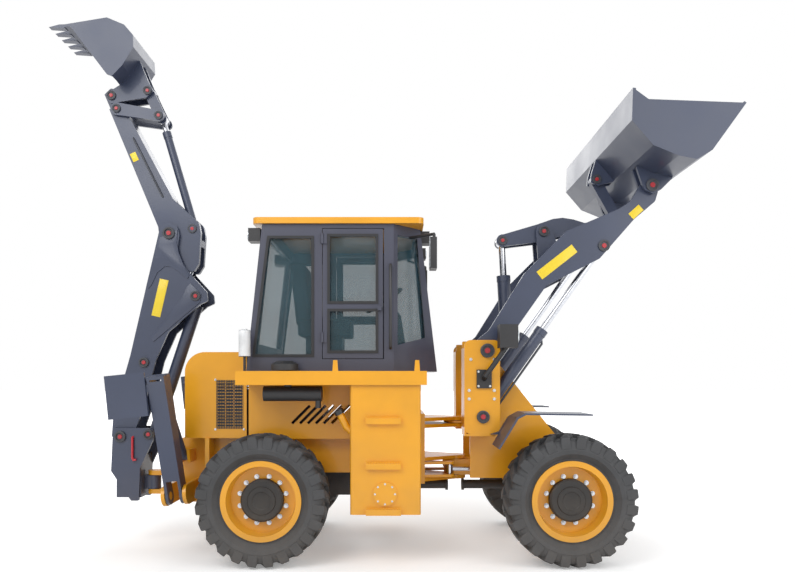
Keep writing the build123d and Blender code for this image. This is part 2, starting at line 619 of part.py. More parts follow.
lift_closed, tilt_closed = 1076, 690
lift_stub = 2 * (arm_y[0] - lift_y) - 2 * seat
lift_barrel, lift_rod = ram((lift_base[0], -lift_y, lift_base[1]), (lift_eye[0], -lift_y, lift_eye[1]),
                            (0, 1, 0), 58, 32, lift_closed, 50, 100, tower_pin_r, lift_stub)
nodes["lift_barrels"] = both(lift_barrel)
nodes["lift_rods"] = both(lift_rod)
tilt_barrel, tilt_rod = ram((tilt_base[0], 0, tilt_base[1]), (rocker_rear[0], 0, rocker_rear[1]), (0, 1, 0),
                            66, 34, tilt_closed, 58, 84, tilt_pin_r, 2 * (rocker_y[0] - seat))
nodes["tilt_barrel"] = tilt_barrel
nodes["tilt_rod"] = tilt_rod

# Steering rams between the frames, base on the front one and eye in the rear frame's lugs

for side_name, mirror_side in (("right", False), ("left", True)):
    barrel, rod = ram((steer_base_x, -steer_lug[1], steer_z), (steer_lug[0], -steer_lug[1], steer_z),
                      (0, 0, 1), 34, 20, 585, 36, 76, steer_pin_r, 100 - 2 * seat)
    nodes[f"steer_barrel_{side_name}"] = mirror(barrel, Plane.XZ) if mirror_side else barrel
    nodes[f"steer_rod_{side_name}"] = mirror(rod, Plane.XZ) if mirror_side else rod

# Backhoe frame: carriage behind the hood, swing lugs and the stabilisers' pivots

carriage_x = (-1900, -1600)
king_lugs = ((500, 545), (690, 735))
lug_half = 64
carriage = block((carriage_x[0], carriage_x[0] + 50), (-340, 340), (470, 1090))
carriage += both(block((carriage_x[0], carriage_x[1]), (-340, -300), (470, 1090)))
for z in king_lugs:
    carriage += block((king_x, carriage_x[0] + 5), (-lug_half, lug_half), z) + post(king_x, 0, lug_half, z)
carriage += post(king_x, 0, king_r, (king_lugs[0][0], king_lugs[1][1]))
ram_x = (leg_x[0] + leg_x[1]) / 2
lean_back = Pos(ram_x, 0, leg_pivot[1]) * Rot(0, -leg_lean, 0) * Pos(-ram_x, 0, -leg_pivot[1])
outrigger_t = 32
outrigger_half = 90
ear_x = ((ram_x - 70, ram_x - 45), (ram_x + 45, ram_x + 70))
leg_sides = ((leg_x[0], leg_x[0] + leg_plate), (leg_x[1] - leg_plate, leg_x[1]))
outriggers = ((leg_x[0] - run - outrigger_t, leg_x[0] - run), (leg_x[1] + run, leg_x[1] + run + outrigger_t))
outrigger_z = (leg_pivot[1] - outrigger_half, leg_pivot[1] + outrigger_half)


def across(place, radius, x):
    """A round bar along X on the right side, through a point in outboard Y and Z."""
    return bar((x[0], -place[0], place[1]), (x[1], -place[0], place[1]), radius)


for x, leg_side in zip(outriggers, leg_sides):
    outrigger = block(x, (-leg_pivot[0], -335), outrigger_z) + across(leg_pivot, outrigger_half, x)
    outrigger += across(leg_pivot, leg_pin_r, (min(x[0], leg_side[0]), max(x[1], leg_side[1])))
    carriage += both(lean_back * outrigger)
for x in ear_x:
    carriage += both(lean_back * block(x, (-stab_base[0] - 50, -335), (stab_base[1] - 60, stab_base[1] + 60)))
carriage += both(lean_back * across(stab_base, stab_pin_r, (ear_x[0][0], ear_x[1][1])))
nodes["backhoe_frame"] = carriage

# Stabilisers: leaning channel legs with their pads, each leg's ram between its side plates

leg_length = hypot(leg_foot[0] - leg_pivot[0], leg_foot[1] - leg_pivot[1])
leg_out = (leg_foot[0] - leg_pivot[0]) / leg_length
leg_up = (leg_foot[1] - leg_pivot[1]) / leg_length


def on_leg(along, inboard):
    """Y and Z of a point on the right leg, from its pin towards its foot and towards the machine."""
    out = leg_pivot[0] + along * leg_out - inboard * leg_up
    return -out, leg_pivot[1] + along * leg_up + inboard * leg_out


foot_out, foot_in = 65, 105
leg_outline = [on_leg(0, -leg_half), on_leg(leg_length, -foot_out), on_leg(leg_length, foot_in),
               on_leg(0.85 * leg_length, foot_in), on_leg(100, leg_half), on_leg(0, leg_half)]
web_t = 12
web_outline = [on_leg(150, -leg_half + 1), on_leg(leg_length - 40, -foot_out),
               on_leg(leg_length - 40, web_t - foot_out), on_leg(150, web_t - leg_half + 1)]
cap_outline = [on_leg(leg_length - 25, -foot_out), on_leg(leg_length, -foot_out), on_leg(leg_length, foot_in),
               on_leg(leg_length - 25, foot_in)]
leg = Part()
for x in leg_sides:
    leg += upright(leg_outline, x) + across(leg_pivot, leg_hub_r, x)
between = (leg_sides[0][1] - 2, leg_sides[1][0] + 2)
leg += upright(web_outline, between) + upright(cap_outline, between)
leg -= across(leg_pivot, leg_pin_r + fit, (leg_x[0] - 5, leg_x[1] + 5))
leg += across(pad_pin, pad_pin_r, (pad_x[0] + 40, leg_sides[0][1]))
nodes["stab_leg_right"] = lean_back * leg
nodes["stab_leg_left"] = mirror(nodes["stab_leg_right"], Plane.XZ)

pad_y = (-pad_pin[0] - 45 - pad_t, -pad_pin[0] - 45)
pad = block(pad_x, pad_y, pad_z)
for x in (pad_x[0] + 60, pad_x[1] - 85):
    pad += block((x, x + 25), (pad_y[1] - 2, -pad_pin[0] + 20), (pad_pin[1] - 55, pad_pin[1] + 55))
pad -= across(pad_pin, pad_pin_r + fit, (pad_x[0] - 5, pad_x[1] + 5))
nodes["stab_pad_right"] = lean_back * pad
nodes["stab_pad_left"] = mirror(nodes["stab_pad_right"], Plane.XZ)

stab_eye = on_leg(stab_eye_along, stab_eye_in)
eye_stub = leg_sides[1][0] - leg_sides[0][1] - 2 * seat
stab_barrel, stab_rod = ram((ram_x, -stab_base[0], stab_base[1]), (ram_x, *stab_eye), (1, 0, 0),
                            37, 22, 795, 36, 76, stab_pin_r, eye_stub)
nodes["stab_barrel_right"] = lean_back * stab_barrel
nodes["stab_barrel_left"] = mirror(nodes["stab_barrel_right"], Plane.XZ)
nodes["stab_rod_right"] = lean_back * stab_rod
nodes["stab_rod_left"] = mirror(nodes["stab_rod_right"], Plane.XZ)

# Swing post: cheeks for the boom's foot and ram, on a hub between the king lugs

cheek = [(-2627, 1176), (-2647, 747), (-2447, 450), (-2370, 450), (-2357, 777), (-2227, 1057),
         (-2227, 1160), (-2300, 1176)]
swing = both(plate(cheek, (-cheek_y[1], -cheek_y[0]), 12))
hub_z = (king_lugs[0][1] + run, king_lugs[1][0] - run)
swing += block((-2600, king_x - lug_half - 20), (-cheek_y[0] - 5, cheek_y[0] + 5), (480, 900))
swing += block((king_x - lug_half - 25, king_x), (-60, 60), hub_z) + post(king_x, 0, 62, hub_z)
swing -= post(king_x, 0, king_r + fit, (hub_z[0] - 5, hub_z[1] + 5))
foot_pin_r = 42
boss_in = 78
swing += both(pin(boom_foot, foot_pin_r, (-cheek_y[1] - 10, -boss_in)))
boom_ram_pin_r = 36
swing += pin(boom_ram_base, boom_ram_pin_r, (-cheek_y[1] - 10, cheek_y[1] + 10))
nodes["swing_post"] = swing

# Dig boom: two side plates with a back web, open towards the machine, rams between them

boom_outline = [(-2655, 1090), (-2640, 1300), (-2468, 1907), (-2185, 3130), (-2150, 3215), (-2078, 3238),
                (-2000, 3200), (-1975, 3120), (-2002, 2910), (-1869, 2724), (-1700, 2540), (-1690, 2450),
                (-1766, 2415), (-2087, 2137), (-2217, 1847), (-2330, 1400), (-2452, 1060), (-2552, 985)]
boom_pin_r = 40
boom = plate(boom_outline, (-boom_y[1], -boom_y[0]), 22)
boom += pin(boom_foot, 85, (-boom_y[1], -boss_in))
boom = both(boom)
web = [(-2600, 1300), (-2458, 1790), (-2228, 2780), (-2252, 2786), (-2483, 1798), (-2626, 1306)]
boom += plate(web, (-boom_y[0] - 5, boom_y[0] + 5))
boom -= both(pin(boom_foot, foot_pin_r + fit, (-boom_y[1] - 5, -boss_in + 5)))
boom += pin(boom_top, boom_pin_r, (-boom_y[1] - 14, boom_y[1] + 14))
dipper_pin_r = 36
boom += pin(dipper_ram_base, dipper_pin_r, (-boom_y[1] - 10, boom_y[1] + 10))
nodes["dig_boom"] = boom

# Dipper: a box arm with forked lugs for its ram and the bucket ram, and a narrow nose

dipper_outline = [(-2765, 4560), (-2700, 4625), (-2610, 4590), (-2540, 4400), (-2050, 3482), (-1788, 3240),
                  (-1770, 3140), (-1790, 2830), (-1840, 2748), (-1930, 2755), (-1990, 2900), (-2075, 3015),
                  (-2190, 3110), (-2200, 3200)]
fork_half = 62
nose_half = 54
dipper = plate(dipper_outline, (-dipper_half, dipper_half), 28)
dipper -= pin(boom_top, boom_pin_r + fit, (-dipper_half - 5, dipper_half + 5))
dipper -= plate([(-2300, 2600), (-1600, 2600), (-1600, 3010), (-2300, 3010)], (-fork_half, fork_half))
base_slot = pin(bucket_ram_base, 92, (-fork_half, fork_half))
base_slot += plate([(-1960, 3150), (-1700, 3050), (-1700, 3700), (-2080, 3560)], (-fork_half, fork_half))
dipper -= base_slot - pin(boom_top, 118, (-fork_half, fork_half))
nose_outline = [(-2900, 4340), (-2690, 4390), (-2500, 4440), (-2450, 4700), (-2900, 4800)]
nose_cut = plate(nose_outline, (nose_half, dipper_half + 5))
dipper -= both(nose_cut)
dig_pin_r = 34
dipper -= pin(dig_pin, dig_pin_r + fit, (-nose_half - 5, nose_half + 5))
guide_y = (113, 138)
dipper += pin(guide_pin, dig_pin_r, (-guide_y[1] - 8, guide_y[1] + 8))
bucket_ram_pin_r = 32
dipper += pin(bucket_ram_base, bucket_ram_pin_r, (-dipper_half - 10, dipper_half + 10))
nodes["dipper"] = dipper

# Guide levers and the dig bucket's link

lever = link_plate((guide_pin, link_elbow), (62, 52), (-guide_y[1], -guide_y[0]))
lever -= pin(guide_pin, dig_pin_r + fit, (-guide_y[1] - 5, -guide_y[0] + 5))
nodes["guide_levers"] = both(lever)
cheek_link_y = (35, 57)
elbow_r = 30
dig_link = link_plate((ear_pin, link_elbow), (52, 50), (-cheek_link_y[1], -cheek_link_y[0]))
dig_link += pin(link_elbow, elbow_r, (-guide_y[0] + seat, -cheek_link_y[0]))
dig_link = both(dig_link) + pin(ear_pin, 52, (-cheek_link_y[1], cheek_link_y[1]))
dig_link -= pin(ear_pin, dig_pin_r + fit, (-cheek_link_y[1] - 5, cheek_link_y[1] + 5))
nodes["dig_link"] = dig_link

# Dig bucket: curved shell, side plates, ears and teeth

dig_half = dig_width / 2
dig_wall = 20
back_line = [(-3060, 5143), (-2637, 5213), (-2467, 5143), (-2381, 5043), (-2376, 4923), (-2487, 4743),
             (-2587, 4640)]
back_inner = [(-3056, 5118), (-2640, 5188), (-2480, 5124), (-2404, 5034), (-2400, 4930), (-2507, 4757),
              (-2604, 4660)]
scoop = plate(back_line + back_inner[::-1], (-dig_half, dig_half))
scoop += both(plate(back_line + [(-2640, 4660), (-2990, 5120)], (-dig_half, -dig_half + dig_wall)))
ear_y = (62, 87)
ear = [(-2755, 4545), (-2690, 4455), (-2330, 4515), (-2255, 4584), (-2300, 4660), (-2400, 4900),
       (-2490, 4740), (-2600, 4640)]
scoop += both(plate(ear, (-ear_y[1], -ear_y[0]), 10))
scoop += pin(dig_pin, dig_pin_r, (-ear_y[1] - 8, ear_y[1] + 8))
scoop += pin(ear_pin, dig_pin_r, (-ear_y[1] - 8, ear_y[1] + 8))
tooth = [(-3050, 5112), (-3040, 5152), (-3110, 5150), (-3212, 5123)]
tooth_width = 60
tooth_count = 5
tooth_pitch = (dig_width - tooth_width - 25) / (tooth_count - 1)
for i in range(tooth_count):
    middle = (i - (tooth_count - 1) / 2) * tooth_pitch
    scoop += plate(tooth, (middle - tooth_width / 2, middle + tooth_width / 2))
nodes["dig_bucket"] = scoop

# Backhoe rams

boom_sizes = (60, 32, 1445, 58, 110, boom_ram_pin_r, 2 * (boom_y[0] - seat))
dipper_sizes = (54, 30, 1060, 52, 104, dipper_pin_r, 2 * (fork_half - seat))
bucket_sizes = (41, 26, 1105, 46, 66, bucket_ram_pin_r, 2 * (cheek_link_y[0] - seat))
for name, base, eye, sizes in (("boom", boom_ram_base, boom_ram_eye, boom_sizes),
                               ("dipper", dipper_ram_base, dipper_ram_eye, dipper_sizes),
                               ("bucket", bucket_ram_base, link_elbow, bucket_sizes)):
    barrel, rod = ram((base[0], 0, base[1]), (eye[0], 0, eye[1]), (0, 1, 0), *sizes)
    nodes[f"{name}_barrel"] = barrel
    nodes[f"{name}_rod"] = rod

os.makedirs("parts", exist_ok=True)
for name, piece in nodes.items():
    export_step(piece, f"parts/{name}.step")
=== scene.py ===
import math

import bpy
from bpy.props import FloatProperty, FloatVectorProperty, IntProperty, PointerProperty
from mathutils import Matrix, Vector


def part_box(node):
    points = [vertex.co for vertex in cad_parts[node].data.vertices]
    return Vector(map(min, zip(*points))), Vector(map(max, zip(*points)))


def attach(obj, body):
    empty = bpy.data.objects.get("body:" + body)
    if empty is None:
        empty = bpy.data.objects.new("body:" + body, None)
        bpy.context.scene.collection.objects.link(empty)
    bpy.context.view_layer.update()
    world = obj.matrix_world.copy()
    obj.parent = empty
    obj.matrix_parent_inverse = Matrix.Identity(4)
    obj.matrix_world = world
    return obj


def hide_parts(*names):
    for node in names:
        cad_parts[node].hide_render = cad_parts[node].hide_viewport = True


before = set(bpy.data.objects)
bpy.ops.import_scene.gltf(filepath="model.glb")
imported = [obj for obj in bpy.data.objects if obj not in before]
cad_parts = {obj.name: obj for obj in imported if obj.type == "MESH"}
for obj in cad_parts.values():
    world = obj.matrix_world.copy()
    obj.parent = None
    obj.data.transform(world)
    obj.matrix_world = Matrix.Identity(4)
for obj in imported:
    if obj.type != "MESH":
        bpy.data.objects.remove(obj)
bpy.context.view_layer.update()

bl_info = {
    "name": "Backhoe loader dressing",
    "version": (1, 0, 0),
    "blender": (4, 5, 0),
    "location": "View3D > Sidebar > Backhoe",
    "description": "Finishes and trim for an articulated backhoe loader",
    "category": "Object",
}

WHEELS = ("front_right", "front_left", "rear_right", "rear_left")

YELLOW_NODES = ("rear_chassis", "hood", "platform", "cab_roof", "front_chassis", "backhoe_frame") + tuple(
    f"rim_{wheel}" for wheel in WHEELS)
SLATE_NODES = ("front_fenders", "loader_arm", "loader_bucket", "rocker", "bucket_link", "lift_barrels",
               "tilt_barrel", "swing_post", "dig_boom", "dipper", "dig_bucket", "guide_levers", "dig_link",
               "boom_barrel", "dipper_barrel", "bucket_barrel", "stab_leg_right", "stab_leg_left",
               "stab_pad_right", "stab_pad_left", "stab_barrel_right", "stab_barrel_left")
CAB_NODES = ("cab_shell", "door_right", "door_left")
ROD_NODES = ("lift_rods", "tilt_rod", "boom_rod", "dipper_rod", "bucket_rod", "stab_rod_right",
             "stab_rod_left", "steer_rod_right", "steer_rod_left")
IRON_NODES = ("rear_axle", "front_axle", "powertrain", "steer_barrel_right", "steer_barrel_left")
MOULDED_NODES = ("intake", "cab_lamps", "headlamps", "cab_interior")
GLASS_NODES = ("cab_glass", "door_glass_right", "door_glass_left")

# Linkage pins by body: X, Z, seat on the plate's outer face, depth of the cap and its radius
PIN_HEADS = {
    "front_frame": [(1.055, 1.932, 0.600, 0.022, 0.066), (1.015, 1.312, 0.600, 0.022, 0.060)],
    "loader_arm": [(2.158, 2.921, 0.565, 0.014, 0.055), (1.692, 3.154, 0.113, 0.018, 0.052),
                   (1.335, 2.100, 0.113, 0.018, 0.052)],
    "loader_bucket": [(2.597, 3.479, 0.610, 0.014, 0.060), (2.235, 3.690, 0.080, 0.010, 0.046)],
    "rocker": [(1.281, 3.070, 0.080, 0.010, 0.046), (2.488, 3.236, 0.080, 0.010, 0.046)],
    "swing_post": [(-2.552, 1.090, 0.178, 0.018, 0.056), (-2.272, 1.113, 0.178, 0.018, 0.050)],
    "dig_boom": [(-1.812, 2.499, 0.140, 0.018, 0.050), (-2.078, 3.129, 0.140, 0.024, 0.060),
                 (-2.330, 1.832, 0.140, 0.018, 0.050)],
    "dipper": [(-1.855, 3.183, 0.108, 0.012, 0.044), (-2.608, 4.384, 0.138, 0.014, 0.042)],
    "guide_levers": [(-2.186, 4.315, 0.138, 0.010, 0.042)],
    "dig_bucket": [(-2.315, 4.584, 0.087, 0.014, 0.042), (-2.680, 4.535, 0.087, 0.014, 0.046)],
}
# Doubler plates: name, body, face, thickness, outline in millimetres
PLATES = (
    ("boom_doubler", "dig_boom", 0.140, 0.008, (
        (-2183, 3085), (-2208, 3009), (-2308, 2594), (-2283, 2575), (-2252, 2613), (-2196, 2733),
        (-2120, 2795), (-2063, 2795), (-1994, 2751), (-1893, 2669), (-1874, 2707), (-1930, 2808),
        (-1981, 2934), (-2000, 3034), (-1994, 3161))),
    ("eye_doubler", "dig_boom", 0.140, 0.008, (
        (-1861, 2625), (-1755, 2519), (-1767, 2436), (-2233, 2040), (-2264, 2078), (-1944, 2493),
        (-1899, 2594))),
)
# Blank label plates: name, body, face, X, Z, width, height, turn in degrees
LABELS = (
    ("arm_label", "loader_arm", 0.565, 1715, 2768, 420, 90, 38),
    ("tip_label", "loader_arm", 0.565, 2459, 3239, 130, 70, 42),
    ("boom_label", "dig_boom", 0.140, -2170, 2480, 90, 380, -13),
    ("dipper_label", "dipper", 0.108, -2440, 3906, 60, 90, 25),
)
# Window rubbers: name, body, face, width, outline in millimetres
RUBBERS = (
    ("side_rubber", "rear_frame", 0.760, 0.024, ((-1111, 1868), (-548, 1868), (-548, 2972), (-974, 2972))),
    ("upper_rubber", "door_{}", 0.760, 0.024, ((-426, 2353), (38, 2353), (38, 2990), (-426, 2990))),
    ("lower_rubber", "door_{}", 0.760, 0.024, ((-426, 1903), (38, 1903), (38, 2307), (-426, 2307))),
)
# Rails: name, body, radius and their bends in millimetres
RODS = (
    ("grab_rail", "rear_frame", 0.014, (
        (150, -755, 1950), (150, -800, 1950), (150, -815, 1965), (150, -815, 2685), (150, -800, 2700),
        (150, -755, 2700))),
)
# Lenses: name, body, X, Y, Z, radius and the way they face
LENSES = (
    ("headlamp_lens", "front_frame", 1.300, 0.770, 2.055, 0.068, 1),
    ("work_lens", "rear_frame", 0.520, 0.415, 3.018, 0.050, 1),
    ("rear_lens", "rear_frame", -1.154, 0.675, 2.990, 0.052, -1),
)
# Bolts: name, body, face, radius, places in millimetres
BOLTS = (
    ("cover_bolts", "rear_frame", 1.014, 0.009, tuple(
        (104 + 88 * math.cos(i * math.pi / 4), 659 + 88 * math.sin(i * math.pi / 4)) for i in range(8))),
    ("grille_bolts", "rear_frame", 0.525, 0.011, (
        (-1510, 1190), (-1240, 1190), (-1510, 1660), (-1240, 1660))),
    ("tower_bolts", "front_frame", 0.600, 0.015, (
        (885, 1480), (885, 1560), (1120, 1480), (1120, 1560), (900, 1850), (1120, 1850))),
    ("lamp_plate_bolts", "front_frame", 0.620, 0.011, (
        (970, 1600), (1078, 1600), (970, 1735), (1078, 1735))),
)
# Rigid oil lines: name, body, radius and their bends in millimetres
LINES = (
    ("lift_line", "lift_barrels", 0.011, (
        (1119.5, -445, 1372.7), (1152.2, -445, 1374), (1597.9, -445, 2001.5), (1594.3, -445, 2041))),
    ("dipper_line", "dipper", 0.009, (
        (-2150, -106, 3500), (-2160, -119, 3520), (-2340, -119, 3880), (-2440, -119, 4080),
        (-2450, -106, 4100))),
)
# Bends of the red hook and of the filler neck in millimetres
HOOK = ((-2427, -176, 1088), (-2427, -196, 1078), (-2427, -196, 880), (-2415, -196, 858),
        (-2390, -196, 862))
FILLER = ((-195, -900, 1200), (-240, -900, 1240), (-300, -900, 1360))
# Grille's X from and to, Z from and to, and the Y of its mesh
GRILLE = (-1.502, -1.247, 1.195, 1.656, 0.525)
# Insets that step a round end, each as width and rise
SIDEWALL_STEPS = ((0.045, 0.013), (0.035, -0.006), (0.045, -0.048))
COVER_STEPS = ((0.016, 0.012), (0.045, 0.0), (0.006, 0.008), (0.040, 0.0), (0.006, -0.006))
PIN_STEPS = ((0.12, 0.18), (0.16, 0.0), (0.06, -0.5), (0.24, 0.0), (0.05, 0.42))
LENS_STEPS = ((0.006, 0.004), (0.005, -0.004), (0.02, 0.003), (0.016, 0.002))
DOME_STEPS = ((0.012, 0.0), (0.012, 0.004))
BOTTLE_STEPS = ((0.018, 0.0), (0.002, 0.012), (0.004, 0.0))
# Upright drums: middle, radius and height
DOME = ((-0.640, -0.300, 3.1935), 0.0600, 0.064)
BOTTLE = ((-1.150, -0.900, 1.9845), 0.0515, 0.237)
# Mirror glass: X, Y and Z of its middle, and its size
MIRROR_PLACE = (0.4985, 0.920, 2.7775)
MIRROR_SIZE = (0.004, 0.136, 0.250)
# Step grips: heights of the steps, first X, pitch, number along a step, and Y
STEP_HEIGHTS = (0.475, 0.878, 1.273)
GRIP_ROW = (-0.055, 0.0243, 13, 1.033)
# Studio lamps: name, place, side and power
STUDIO_LAMPS = (
    ("key_light", (-4.5, -7.5, 8.0), 6.0, 470),
    ("fill_light", (6.5, -6.0, 5.0), 6.0, 250),
    ("rear_light", (0.0, 7.5, 7.5), 7.0, 340),
)
# Cushions: name, middle, size and the lean of the top along X
CUSHIONS = (
    ("driver_cushion", (-0.510, 0, 2.175), (0.524, 0.524, 0.174), 0),
    ("driver_back", (-0.710, 0, 2.5025), (0.150, 0.510, 0.625), -0.070),
)


class PaintColours(bpy.types.PropertyGroup):
    """Colours of the machine's finishes"""
    yellow: FloatVectorProperty(
        name="Body yellow", description="Enamel of the body, hood and rims",
        subtype="COLOR", size=3, min=0, max=1, default=(0.76, 0.34, 0.005))
    slate: FloatVectorProperty(
        name="Arm slate", description="Blue-grey enamel of the arms and buckets",
        subtype="COLOR", size=3, min=0, max=1, default=(0.036, 0.047, 0.086))
    cab: FloatVectorProperty(
        name="Cab frame", description="Dark enamel of the cab's posts and doors",
        subtype="COLOR", size=3, min=0, max=1, default=(0.042, 0.045, 0.072))
    rubber: FloatVectorProperty(
        name="Tyre rubber", description="Tyres",
        subtype="COLOR", size=3, min=0, max=1, default=(0.052, 0.053, 0.056))
    glass: FloatVectorProperty(
        name="Glass tint", description="Tint of the cab's panes",
        subtype="COLOR", size=3, min=0, max=1, default=(0.032, 0.085, 0.110))


class WheelSizes(bpy.types.PropertyGroup):
    """Tyres, hubs and wheel nuts"""
    track: FloatProperty(
        name="Track", description="Between the wheels' middles", unit="LENGTH", min=0.1, default=1.67)
    tyre_width: FloatProperty(
        name="Tyre width", description="Across the shoulders", unit="LENGTH", min=0.05, default=0.41)
    crown_radius: FloatProperty(
        name="Crown radius", description="Of the tyre between its lugs",
        unit="LENGTH", min=0.05, default=0.552)
    lug_radius: FloatProperty(
        name="Lug radius", description="Over the lugs", unit="LENGTH", min=0.05, default=0.5895)
    bead_radius: FloatProperty(
        name="Bead radius", description="Of the tyre's bore", unit="LENGTH", min=0.05, default=0.316)
    lug_count: IntProperty(name="Lugs", description="On each half of the tyre", min=6, default=24)
    lug_width: FloatProperty(
        name="Lug width", description="Along the tread", unit="LENGTH", min=0.01, default=0.088)
    lug_slant: FloatProperty(
        name="Lug slant", description="Inner end ahead of the outer", unit="LENGTH", default=0.075)
    disc_out: FloatProperty(
        name="Disc offset", description="Rim's outer face from its middle", unit="LENGTH", default=0.045)
    nut_circle: FloatProperty(
        name="Nut circle", description="Radius of the ring of wheel nuts", unit="LENGTH", default=0.2125)
    nut_count: IntProperty(name="Wheel nuts", description="On each rim", min=4, default=12)


class StageSizes(bpy.types.PropertyGroup):
    """Camera and floor"""
    camera_back: FloatProperty(
        name="Camera distance", description="Camera from the machine's middle plane",
        unit="LENGTH", min=1, default=6.9)
    camera_height: FloatProperty(
        name="Camera height", description="Camera above the floor", unit="LENGTH", min=0.1, default=1.676)
    camera_x: FloatProperty(
        name="Camera along", description="Camera along the machine", unit="LENGTH", default=0.2)
    lens: FloatProperty(
        name="Lens", description="Focal length in millimetres on a 36 mm sensor", min=5, default=30.475)
    floor_size: FloatProperty(
        name="Floor size", description="Side of the square floor", unit="LENGTH", min=5, default=160)


# Finishes


def new_material(name, roughness=0.5, metallic=0.0):
    """A material with its Principled shader, Object coordinates and node list."""
    material = bpy.data.materials.new(name)
    material.use_nodes = True
    nodes, links = material.node_tree.nodes, material.node_tree.links
    shader = nodes["Principled BSDF"]
    shader.inputs["Roughness"].default_value = roughness
    shader.inputs["Metallic"].default_value = metallic
    place = nodes.new("ShaderNodeTexCoord")
    return material, nodes, links, shader, place.outputs["Object"]


def noise(nodes, links, place, scale, detail=4.0, rough=0.55, stretch=(1, 1, 1)):
    """Noise on Object coordinates, stretched along its axes."""
    mapping = nodes.new("ShaderNodeMapping")
    mapping.inputs["Scale"].default_value = stretch
    texture = nodes.new("ShaderNodeTexNoise")
    texture.inputs["Scale"].default_value = scale
    texture.inputs["Detail"].default_value = detail
    texture.inputs["Roughness"].default_value = rough
    links.new(place, mapping.inputs["Vector"])
    links.new(mapping.outputs["Vector"], texture.inputs["Vector"])
    return texture.outputs["Fac"]


def ramp(nodes, links, factor, stops):
    """A colour ramp through (position, colour) stops."""
    blend = nodes.new("ShaderNodeValToRGB")
    band = blend.color_ramp
    while len(band.elements) < len(stops):
        band.elements.new(0.5)
    for element, (position, colour) in zip(band.elements, stops):
        element.position = position
        element.color = (*colour, 1)
    links.new(factor, blend.inputs["Fac"])
    return blend.outputs["Color"]


def spread(nodes, links, factor, low, high):
    """A factor between 0 and 1 carried to a range."""
    scale = nodes.new("ShaderNodeMapRange")
    scale.inputs["From Min"].default_value = 0.3
    scale.inputs["From Max"].default_value = 0.7
    scale.inputs["To Min"].default_value = low
    scale.inputs["To Max"].default_value = high
    links.new(factor, scale.inputs["Value"])
    return scale.outputs["Result"]


def bump(nodes, links, height, shader, strength, distance):
    """Relief from a height factor."""
    relief = nodes.new("ShaderNodeBump")
    relief.inputs["Strength"].default_value = strength
    relief.inputs["Distance"].default_value = distance
    links.new(height, relief.inputs["Height"])
    links.new(relief.outputs["Normal"], shader.inputs["Normal"])


def tone(colour, factor):
    """A colour made lighter or darker."""
    return tuple(min(1, value * factor) for value in colour)


def mix_colour(nodes, links, factor, first, second):
    """Two colours mixed by a factor; each is a socket or a plain colour."""
    mixer = nodes.new("ShaderNodeMix")
    mixer.data_type = "RGBA"
    links.new(factor, mixer.inputs["Factor"])
    for socket, value in (("A", first), ("B", second)):
        target = [item for item in mixer.inputs if item.name == socket and item.type == "RGBA"][0]
        if isinstance(value, tuple):
            target.default_value = (*value, 1)
        else:
            links.new(value, target)
    return [item for item in mixer.outputs if item.type == "RGBA"][0]


def low_dust(nodes, links, place, top, amount):
    """A factor that grows towards the floor, broken up by noise."""
    split = nodes.new("ShaderNodeSeparateXYZ")
    links.new(place, split.inputs["Vector"])
    height = nodes.new("ShaderNodeMapRange")
    height.inputs["From Min"].default_value = top
    height.inputs["From Max"].default_value = 0.1
    height.inputs["To Max"].default_value = amount
    links.new(split.outputs["Z"], height.inputs["Value"])
    patches = nodes.new("ShaderNodeMath")
    patches.operation = "MULTIPLY"
    links.new(height.outputs["Result"], patches.inputs[0])
    links.new(noise(nodes, links, place, 7, 6, 0.65), patches.inputs[1])
    return patches.outputs["Value"]


def enamel(name, colour, roughness, dust_top, dust):
    """Sprayed enamel: slight mottling, orange peel, fine scuffs and dust low down."""
    material, nodes, links, shader, place = new_material(name, roughness)
    mottle = noise(nodes, links, place, 2.3, 3)
    base = ramp(nodes, links, mottle, [(0.3, tone(colour, 0.93)), (0.7, tone(colour, 1.06))])
    scuffs = noise(nodes, links, place, 26, 8, 0.7, (1, 1, 0.35))
    marks = ramp(nodes, links, scuffs, [(0.66, (0, 0, 0)), (0.74, (0.22, 0.22, 0.22))])
    worn = mix_colour(nodes, links, marks, base, tone(colour, 1.5))
    dusty = mix_colour(nodes, links, low_dust(nodes, links, place, dust_top, dust), worn, (0.30, 0.24, 0.17))
    links.new(dusty, shader.inputs["Base Color"])
    links.new(spread(nodes, links, mottle, roughness - 0.05, roughness + 0.08), shader.inputs["Roughness"])
    shader.inputs["Coat Weight"].default_value = 0.25
    shader.inputs["Coat Roughness"].default_value = 0.12
    bump(nodes, links, noise(nodes, links, place, 240, 2), shader, 0.05, 0.002)
    return material


def rod_chrome():
    """Hard chrome with faint lengthwise polish."""
    material, nodes, links, shader, place = new_material("rod_chrome", 0.16, 1.0)
    streaks = noise(nodes, links, place, 60, 4, 0.6, (0.2, 1, 1))
    links.new(ramp(nodes, links, streaks, [(0.3, (0.40, 0.41, 0.44)), (0.7, (0.56, 0.57, 0.60))]),
              shader.inputs["Base Color"])
    links.new(spread(nodes, links, streaks, 0.10, 0.22), shader.inputs["Roughness"])
    return material


def plated(name, colour):
    """Zinc plate or silvered glass, with faint clouding."""
    material, nodes, links, shader, place = new_material(name, 0.25, 0.9)
    cloud = noise(nodes, links, place, 40, 4)
    links.new(ramp(nodes, links, cloud, [(0.3, tone(colour, 0.85)), (0.7, tone(colour, 1.1))]),
              shader.inputs["Base Color"])
    links.new(spread(nodes, links, cloud, 0.18, 0.36), shader.inputs["Roughness"])
    return material


